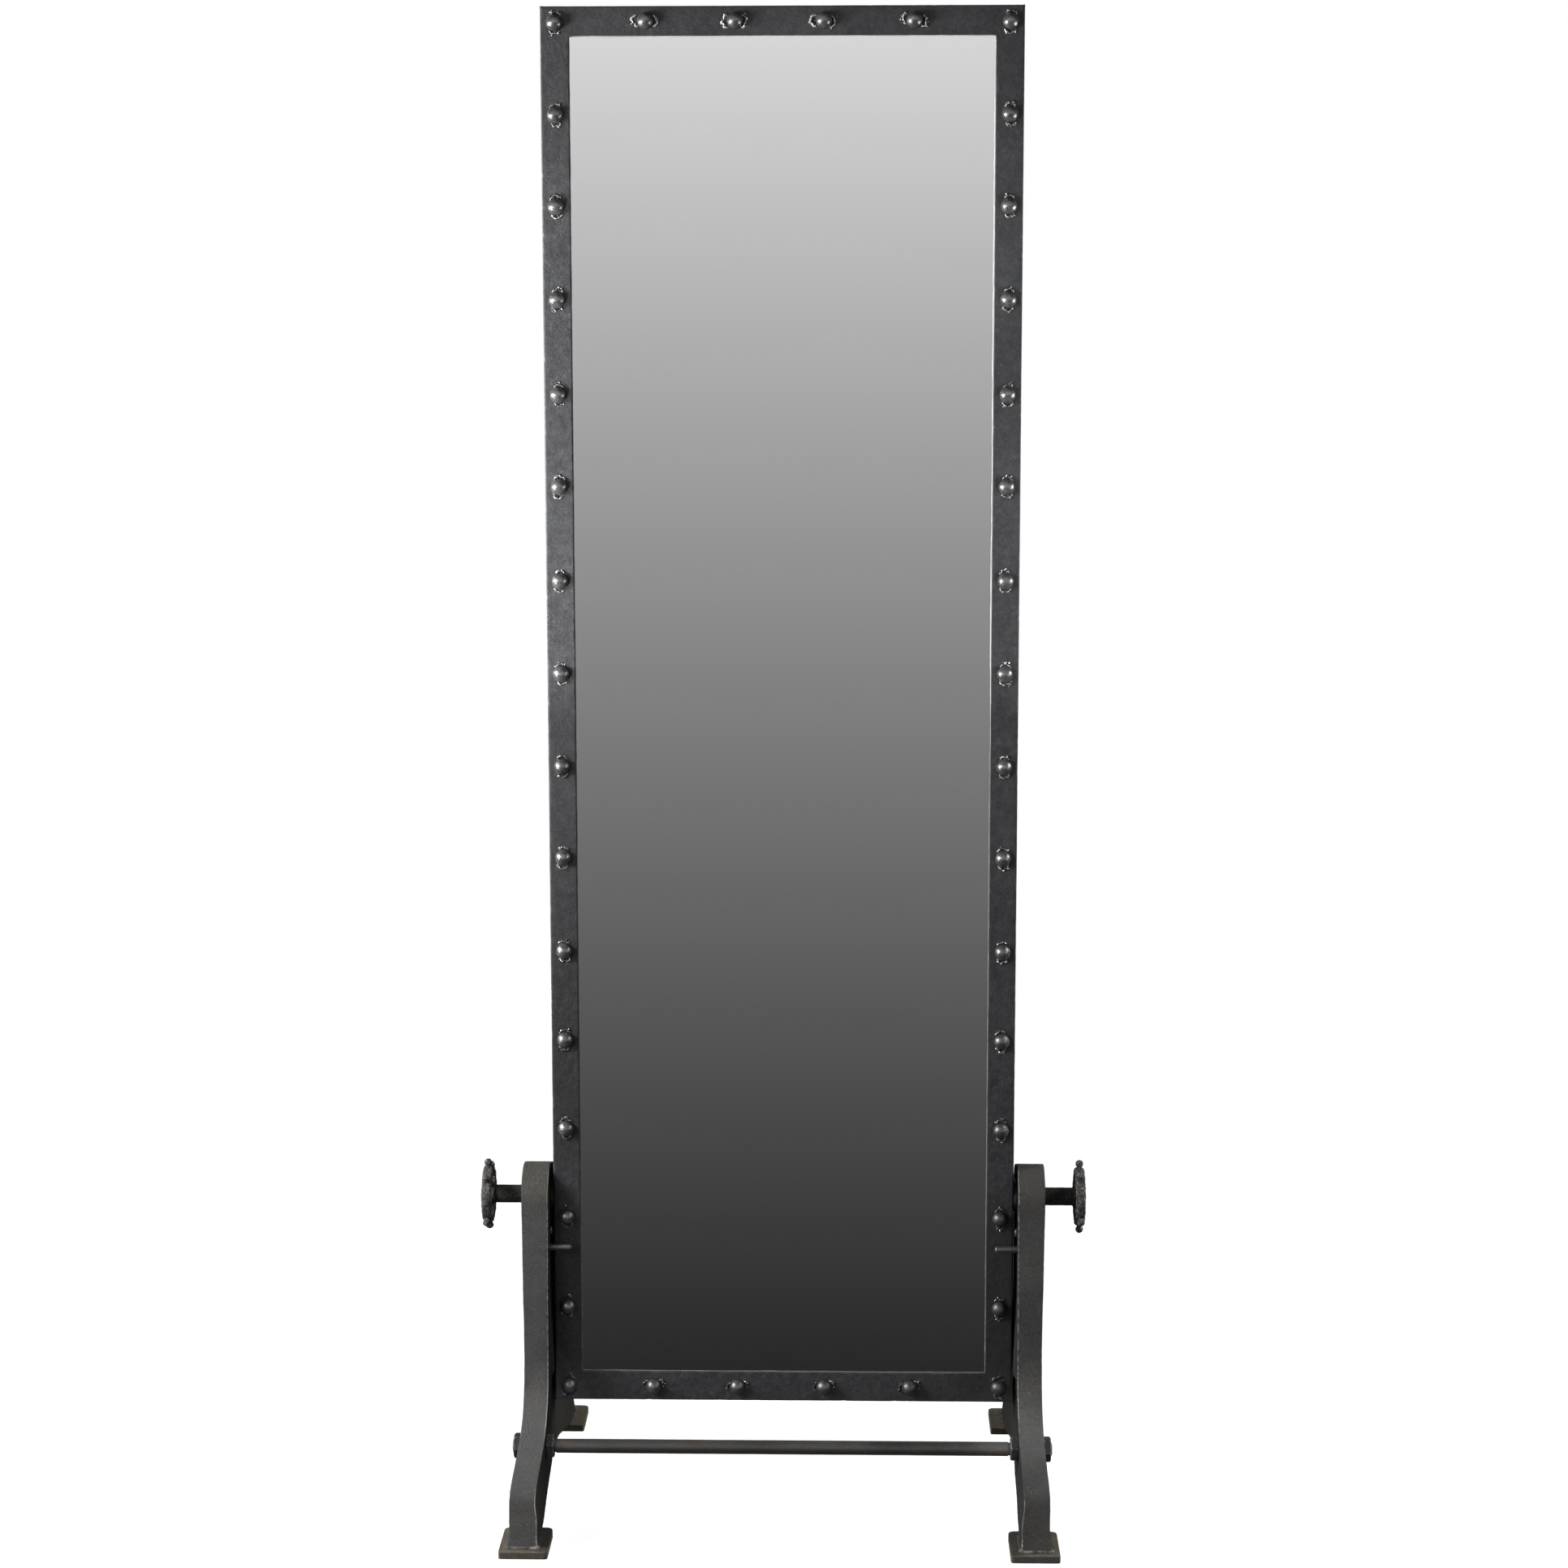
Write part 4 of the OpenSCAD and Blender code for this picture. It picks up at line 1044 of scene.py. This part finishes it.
def cast_wheel(side, label):
    voxel = 0.7 * MM
    o = remeshed(f"{label}_handwheel_casting", f"{label}_handwheel", voxel, 1)
    me = o.data
    seed = 91 if side < 0 else 97
    edge = convexity(me, 2)
    co, no = coords(me), normals(me)
    rad = np.hypot(co[:, 1], co[:, 2] - PIVOT_Z)
    rim = smooth01(rad, 0.026, 0.032)
    # a groove runs round the foot of each ball lug
    groove = np.zeros(len(co))
    for c in lug_centres[label]:
        dist = np.linalg.norm(co - c, axis=1)
        groove = np.maximum(groove, np.exp(-(((dist - 6.1 * MM) / (0.9 * MM)) ** 2)))
    d = 0.42 * fbm(co, 0.009, 2, seed) + 0.42 * fbm(co, 0.0036, 2, seed + 1) - 0.42 - 0.6 * groove
    d = d - 0.75 * np.abs(fbm(co + 0.5, 0.0052, 2, seed + 2)) + 0.15
    d = d * (0.25 + 0.75 * rim)
    co = co + no * (d * MM)[:, None]
    for c in lug_centres[label]:
        rel = co - c
        dist = np.linalg.norm(rel, axis=1)
        out = np.array([0.0, c[1], c[2] - PIVOT_Z])
        out /= np.linalg.norm(out)
        mask = (1 - smooth01(dist, 5.6 * MM, 7.6 * MM)) * smooth01(rel @ out, -4.5 * MM, -0.5 * MM)
        co = co + (out * 1.0 * MM + rel / np.maximum(dist, 1e-6)[:, None] * 0.55 * MM) * mask[:, None]
    set_coords(me, co)
    ridges = convexity(me, 0) / (0.5 * voxel)
    set_attr(me, "edge", np.clip(0.55 * edge / (0.22 * voxel) + 0.45 * ridges, 0, 1.2))
    ring, rubbed = np.zeros(len(co)), np.zeros(len(co))
    for c in lug_centres[label]:
        out = np.array([0.0, c[1], c[2] - PIVOT_Z])
        out /= np.linalg.norm(out)
        rel = co - c - out * 1.0 * MM
        ring = np.maximum(ring, np.exp(-(((np.linalg.norm(rel, axis=1) - 7.2 * MM) / (1.0 * MM)) ** 2)))
        rubbed = np.maximum(rubbed, smooth01(rel @ out, 3.4 * MM, 5.6 * MM) * (1 - smooth01(np.linalg.norm(rel, axis=1), 6.4 * MM, 7.4 * MM)))
    set_attr(me, "rub_and_highlight", 0.50 * rubbed)
    # painted shade: dark rings round each lug and in its groove, and the hub within the rim darkened
    set_attr(me, "side", np.maximum(1.0 - smooth01(rad, 0.0135, 0.020), 0.95 * np.maximum(ring, 0.7 * groove)))
    wear(o, M_WHEEL)
    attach(o, f"{label}_handwheel")
    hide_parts(f"{label}_handwheel")
    return o


def find_lugs(label, side):
    """Centres of the ball lugs, from the farthest points of the wheel in eight directions."""
    co = coords(NODES[f"{label}_handwheel"].data)
    rel = co - np.array([0, 0, PIVOT_Z])
    rad = np.hypot(rel[:, 1], rel[:, 2])
    far = co[rad > rad.max() - 0.35 * MM]
    ang = np.arctan2(far[:, 2] - PIVOT_Z, far[:, 1])
    order = np.argsort(ang)
    far, ang = far[order], ang[order]
    cuts = np.where(np.diff(ang) > math.radians(15))[0] + 1
    groups = np.split(np.arange(len(ang)), cuts)
    if len(groups) > 1 and ang[groups[0][0]] + 2 * math.pi - ang[groups[-1][-1]] < math.radians(15):
        groups[0] = np.concatenate([groups[0], groups[-1]])
        groups = groups[:-1]
    out = []
    for g in groups:
        p = far[g].mean(0)
        r = math.hypot(p[1], p[2] - PIVOT_Z)
        k = (rad.max() - 5.25 * MM) / r
        out.append(np.array([p[0], p[1] * k, PIVOT_Z + (p[2] - PIVOT_Z) * k]))
    return out


lug_centres = {lab: find_lugs(lab, sd) for sd, lab in ((-1, "left"), (1, "right"))}
for side, label in ((-1, "left"), (1, "right")):
    cast_wheel(side, label)


# ------------------------------------------------------------------ turned and forged pieces


def lathe(name, profile, place, seg=48, seed=1, lump=0.0, lump_size=0.01, m=None, edge_fn=None):
    """A turned piece. profile is (distance along, radius) from end to end; place maps (a, y, z) to the row frame."""
    profile = np.asarray(profile, float)
    n = len(profile)
    ph = np.linspace(0, 2 * math.pi, seg, endpoint=False)
    A = np.repeat(profile[:, 0][:, None], seg, 1).ravel()
    R = np.repeat(profile[:, 1][:, None], seg, 1).ravel()
    C, S = np.tile(np.cos(ph), n), np.tile(np.sin(ph), n)
    probe = np.stack([A, R * C, R * S], 1)
    R = np.maximum(R + lump * (fbm(probe, lump_size, 3, seed) - 0.6), 0)
    pts = place(A, R * C, R * S)
    faces = grid_faces(n, seg, wrap_cols=True)
    faces += [tuple(range(seg - 1, -1, -1)), tuple(range((n - 1) * seg, n * seg))]
    edge = edge_fn(A, R) if edge_fn else np.zeros(len(A))
    o = make_piece(name, pts, faces, {"edge": edge})
    bm = bmesh.new()
    bm.from_mesh(o.data)
    bmesh.ops.recalc_face_normals(bm, faces=bm.faces)
    bm.to_mesh(o.data)
    bm.free()
    o.data.set_sharp_from_angle(angle=math.radians(50))
    return wear(o, m)


def dense(profile, step):
    out = []
    for (a0, r0), (a1, r1) in zip(profile[:-1], profile[1:]):
        k = max(1, int(abs(a1 - a0) / step))
        for j in range(k):
            out.append((a0 + (a1 - a0) * j / k, r0 + (r1 - r0) * j / k))
    out.append(profile[-1])
    return out


# tie rod, with its turned-down threaded ends
lo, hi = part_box("tie_rod")
rod_c = ((lo.y + hi.y) / 2, (lo.z + hi.z) / 2)
rod_r = (hi.z - lo.z) / 2
nut_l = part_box("left_inner_nut")
nut_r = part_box("right_inner_nut")
body_a, body_b = nut_l[1].x + 2.4 * MM, nut_r[0].x - 2.4 * MM
thread_r = rod_r - 0.25 * MM


def rod_place(a, y, z):
    return np.stack([a, rod_c[0] + y, rod_c[1] + z], 1)


def threaded(a0, a1, r, pitch=2.0 * MM, depth=0.7 * MM):
    n = max(2, int(round((a1 - a0) / (pitch / 4))))
    return [(a0 + (a1 - a0) * i / n, r - depth * (0.5 - 0.5 * math.cos(2 * math.pi * i / 4))) for i in range(n + 1)]


prof = [(lo.x, thread_r - 1.6 * MM), (lo.x + 1.2 * MM, thread_r)]
prof += threaded(lo.x + 1.5 * MM, nut_l[0].x, thread_r)
prof += [(body_a - 1.9 * MM, thread_r - 0.8 * MM), (body_a - 0.3 * MM, thread_r - 0.8 * MM), (body_a, rod_r - 0.7 * MM), (body_a + 0.9 * MM, rod_r - 0.05 * MM)]
prof += dense([(body_a + 1.2 * MM, rod_r), (body_b - 1.2 * MM, rod_r)], 3 * MM)
prof += [(body_b - 0.9 * MM, rod_r - 0.05 * MM), (body_b, rod_r - 0.7 * MM), (body_b + 0.3 * MM, thread_r - 0.8 * MM), (body_b + 1.9 * MM, thread_r - 0.8 * MM)]
prof += threaded(nut_r[1].x, hi.x - 1.5 * MM, thread_r)
prof += [(hi.x - 1.2 * MM, thread_r), (hi.x, thread_r - 1.6 * MM)]
o = lathe("tie_rod_bar", prof, rod_place, 56, 101, 0.10 * MM, 0.02, M_ROD)
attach(o, "stand")
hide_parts("tie_rod")

# stop pins: they thin a little towards a rounded tip
for side, label in ((-1, "left"), (1, "right")):
    lo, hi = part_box(f"{label}_stop_pin")
    cy, cz, r = (lo.y + hi.y) / 2, (lo.z + hi.z) / 2, (hi.z - lo.z) / 2
    root, tip = (lo.x, hi.x) if side < 0 else (hi.x, lo.x)
    sgn = 1 if tip > root else -1
    L = abs(tip - root)
    prof = [(0, r * 1.03), (L * 0.2, r * 1.03), (L * 0.40, r * 1.03)]
    prof += dense([(L * 0.42, r * 1.02), (L - 2.6 * MM, r * 0.90)], 0.8 * MM)
    prof += [(L - 2.6 * MM + 2.6 * MM * math.sin(a), r * 0.90 * math.cos(a * 0.98)) for a in np.linspace(0.12, math.pi / 2, 9)]

    def pin_place(a, y, z, root=root, sgn=sgn, cy=cy, cz=cz):
        return np.stack([root + sgn * a, cy + y, cz + z], 1)

    prof = [(a, q - 0.22 * MM * (0.5 - 0.5 * math.cos(2 * math.pi * a / (1.6 * MM)))) for a, q in dense(prof, 0.4 * MM)]
    o = lathe(f"{label}_stop_pin_rod", prof, pin_place, 40, 103 + side, 0.28 * MM, 0.006, M_PIN,
              lambda A, R, L=L: 1.1 * smooth01(A, L - 2.2 * MM, L - 0.4 * MM))
    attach(o, "stand")
    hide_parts(f"{label}_stop_pin")


# ------------------------------------------------------------------ CAD pieces that stay


def dress(node, m, bevel=None, segments=2):
    """A CAD node keeps its shape and gets a finish, and a fine bevel on its edges."""
    o = NODES[node]
    if bevel:
        w = o.modifiers.new("weld", "WELD")
        w.merge_threshold = 1e-5
        b = o.modifiers.new("bevel", "BEVEL")
        b.width = bevel
        b.segments = segments
        b.limit_method = "ANGLE"
        b.angle_limit = math.radians(28)
        b.harden_normals = True
    wear(o, m)
    return o


def forged(node, body, voxel, m):
    """A node remade as a fine skin with softened corners, so that its corners can be rubbed bright."""
    o = remeshed(f"{node}_forging", node, voxel * (1), 2)
    me = o.data
    edge = convexity(me, 1)
    co, no = coords(me), normals(me)
    co = co + no * ((0.10 * fbm(co, 0.006, 2, 131) - 0.10) * MM)[:, None]
    set_coords(me, co)
    set_attr(me, "edge", np.clip(edge / (0.10 * voxel), 0, 1.4))
    wear(o, m)
    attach(o, body)
    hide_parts(node)
    return o


for side in ("left", "right"):
    forged(f"{side}_inner_nut", "stand", 0.6 * MM, M_NUT)
    forged(f"{side}_outer_nut", "stand", 0.6 * MM, M_NUT)
    dress(f"{side}_leg_bolt", M_PIN, 0.3 * MM)
    dress(f"{side}_clamp_screw", M_NUT, 0.3 * MM)
    dress(f"{side}_wheel_nut", M_NUT, 0.4 * MM)
    dress(f"{side}_pivot_block", M_IRON, 0.6 * MM)
    dress(f"{side}_friction_washer", M_FIBRE, 0.3 * MM)
dress("retaining_clips", M_CLIP, 0.25 * MM)
dress("clip_screws", M_SCREW, 0.3 * MM)


# ------------------------------------------------------------------ studio


def world():
    w = bpy.data.worlds.new("studio")
    scene.world = w
    w.use_nodes = True
    t = w.node_tree
    t.nodes.clear()

    def node(kind):
        return t.nodes.new(kind)

    def m(op, a, b=None, c=None, clamp=False):
        n = node("ShaderNodeMath")
        n.operation = op
        n.use_clamp = clamp
        for i, v in enumerate((a, b, c)):
            if v is None:
                continue
            if isinstance(v, (int, float)):
                n.inputs[i].default_value = v
            else:
                t.links.new(v, n.inputs[i])
        return n.outputs[0]

    def rng_(v, a, b, c, d):
        n = node("ShaderNodeMapRange")
        n.interpolation_type = "SMOOTHSTEP"
        t.links.new(v, n.inputs["Value"])
        for key, x in (("From Min", a), ("From Max", b), ("To Min", c), ("To Max", d)):
            n.inputs[key].default_value = x
        return n.outputs["Result"]

    tc = node("ShaderNodeTexCoord")
    sep = node("ShaderNodeSeparateXYZ")
    t.links.new(tc.outputs["Generated"], sep.inputs[0])
    dx, dy, dz = sep.outputs
    elev = m("ARCSINE", dz)
    elev = m("MINIMUM", m("MAXIMUM", elev, math.radians(-30)), math.radians(20))
    tan = m("TANGENT", m("ADD", elev, math.radians(8.0)))
    v = m("DIVIDE", m("MULTIPLY_ADD", tan, 401.3, 116.3), 255.0)
    v = m("MINIMUM", m("MAXIMUM", v, 0.14), 0.86)
    lin = m("POWER", m("DIVIDE", m("ADD", v, 0.055), 1.055), 2.4)
    lin = m("DIVIDE", lin, 0.868)
    high = rng_(dz, 0.13, 0.65, 1.0, 0.55)
    front = rng_(m("MULTIPLY", dy, -1.0), 0.15, 0.80, 0.16, 1.0)
    refl = m("MULTIPLY", m("MULTIPLY", lin, high), front)
    refl = m("ADD", refl, rng_(dz, -0.42, -0.75, 0.0, 0.065))
    comb = node("ShaderNodeCombineColor")
    for i, f in enumerate((1.0, 1.0, 1.0)):
        t.links.new(m("MULTIPLY", refl, f), comb.inputs[i])
    bg_g = node("ShaderNodeBackground")
    t.links.new(comb.outputs[0], bg_g.inputs["Color"])
    bg_d = node("ShaderNodeBackground")
    bg_d.inputs["Color"].default_value = (1, 1, 1, 1)
    bg_d.inputs["Strength"].default_value = 0.03
    bg_c = node("ShaderNodeBackground")
    bg_c.inputs["Color"].default_value = (1, 1, 1, 1)
    bg_c.inputs["Strength"].default_value = 1.0
    lp = node("ShaderNodeLightPath")
    mix1 = node("ShaderNodeMixShader")
    t.links.new(lp.outputs["Is Glossy Ray"], mix1.inputs[0])
    t.links.new(bg_d.outputs[0], mix1.inputs[1])
    t.links.new(bg_g.outputs[0], mix1.inputs[2])
    mix2 = node("ShaderNodeMixShader")
    t.links.new(lp.outputs["Is Camera Ray"], mix2.inputs[0])
    t.links.new(mix1.outputs[0], mix2.inputs[1])
    t.links.new(bg_c.outputs[0], mix2.inputs[2])
    out = node("ShaderNodeOutputWorld")
    t.links.new(mix2.outputs[0], out.inputs["Surface"])


world()


# the softboxes light everything but the glass, so that it never mirrors their hard outlines
no_glass = bpy.data.collections.new("not_lit")
no_glass.objects.link(NODES["mirror_glass"])
no_glass.collection_objects[0].light_linking.link_state = "EXCLUDE"


def softbox(name, az, dist, z, width, height, power, aim=None, spread=180.0, glossy=True):
    """An area light at that azimuth round the mirror (0 is the camera's side, positive to the right), facing it."""
    a = math.radians(az)
    pos = Vector((math.sin(a) * dist, -math.cos(a) * dist, z))
    d = bpy.data.lights.new(name, "AREA")
    d.shape = "RECTANGLE"
    d.size, d.size_y = width, height
    d.energy = power
    d.spread = math.radians(spread)
    o = link(bpy.data.objects.new(name, d))
    o.rotation_euler = (Vector(aim or (0, 0, z)) - pos).to_track_quat("-Z", "Y").to_euler()
    o.location = pos
    o.visible_glossy = glossy
    o.light_linking.receiver_collection = no_glass
    return o


softbox("key_left", -68, 1.9, 1.40, 0.55, 0.45, 54)
softbox("key_left_beam", -68, 1.9, 1.36, 0.60, 0.70, 3, spread=40)
softbox("low_left", -68, 1.9, 0.50, 0.55, 0.45, 9.5)
softbox("side_left", -88, 1.9, 1.40, 0.60, 0.60, 15, aim=(0, 0, 1.2))
softbox("front_left", -40, 2.2, 1.40, 0.60, 0.60, 6.5, aim=(0, 0, 1.2))
softbox("key_right", 66, 1.9, 0.95, 0.55, 0.45, 3.5)
softbox("side_right", 88, 1.2, 1.36, 0.50, 0.50, 7.5)
softbox("rear_fill", 180, 1.9, 2.3, 2.2, 1.1, 20, aim=(0, 0, 0.8), glossy=False)
softbox("rear_board", 180, 1.9, 2.3, 1.4, 0.8, 14, aim=(0, 0, 1.6), spread=60, glossy=False)

# soft light on the outer sides of the legs, from a little behind them
softbox("side_fill_left", -102, 2.3, 0.60, 0.6, 0.5, 9, aim=(-0.36, 0.0, 0.25), spread=45, glossy=False)
softbox("side_fill_right", 102, 2.3, 0.60, 0.6, 0.5, 9, aim=(0.36, 0.0, 0.25), spread=45, glossy=False)

# light thrown back up by the pale floor round the feet
bounce = softbox("floor_bounce", 180, -0.15, 0.0004, 1.7, 0.50, 0.90, aim=(0, -0.15, 1.0), glossy=False)
bounce.visible_camera = False


def lamp(name, pos, aim, size, blend, power, glossy=False):
    """A shaded lamp with a beam of that size in degrees."""
    d = bpy.data.lights.new(name, "SPOT")
    d.spot_size = math.radians(size)
    d.spot_blend = blend
    d.shadow_soft_size = 0.04
    d.energy = power
    o = link(bpy.data.objects.new(name, d))
    o.location = pos
    o.rotation_euler = (Vector(aim) - Vector(pos)).to_track_quat("-Z", "Y").to_euler()
    o.visible_glossy = glossy


# low in front of each stile, with a beam that starts at a soft edge above the legs
lamp("stile_lamp_left", (-0.956, -0.763, 0.80), (-0.287, -0.02, 1.377), 31, 0.25, 100)
lamp("stile_lamp_right", (0.956, -0.763, 0.80), (0.287, -0.02, 1.377), 31, 0.25, 43)
# above and in front of each knee
lamp("knee_lamp_left", (-0.45, -1.25, 1.25), (-0.325, -0.15, 0.166), 6.6, 1.0, 135)
lamp("knee_lamp_right", (0.45, -1.25, 1.25), (0.325, -0.15, 0.164), 5.6, 1.0, 245)
lamp("foot_lamp_left", (-0.45, -1.25, 1.25), (-0.333, -0.235, 0.040), 4.2, 1.0, 55)
lamp("foot_lamp_right", (0.85, -1.15, 0.95), (0.362, -0.24, 0.0), 4.6, 1.0, 42)

# floor: pale, its glow painted a little dimmer round the object (painted shade) and fading into the white ground far
# away
s = 30.0
floor = make_piece("floor", [(-s, -s, 0), (s, -s, 0), (s, s, 0), (-s, s, 0)], [(0, 1, 2, 3)], smooth=False)
floor.location.z = -0.0004
k = Mat("pale_floor")
length = k.new("ShaderNodeVectorMath")
length.operation = "LENGTH"
k.t.links.new(k.coord, length.inputs[0])
glow = k.range(length.outputs["Value"], 0.6, 3.0, 0.92, 1.0)
k.put(glow, k.bsdf.inputs["Emission Strength"])
fm = k.done((0.17, 0.17, 0.17), 0.9)
k.bsdf.inputs["Specular IOR Level"].default_value = 0.0
k.bsdf.inputs["Emission Color"].default_value = (1, 1, 1, 1)
fm.cycles.emission_sampling = "NONE"
wear(floor, fm)
floor.visible_glossy = False
floor.visible_diffuse = False
floor.visible_shadow = False
floor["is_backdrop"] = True

lo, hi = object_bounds()
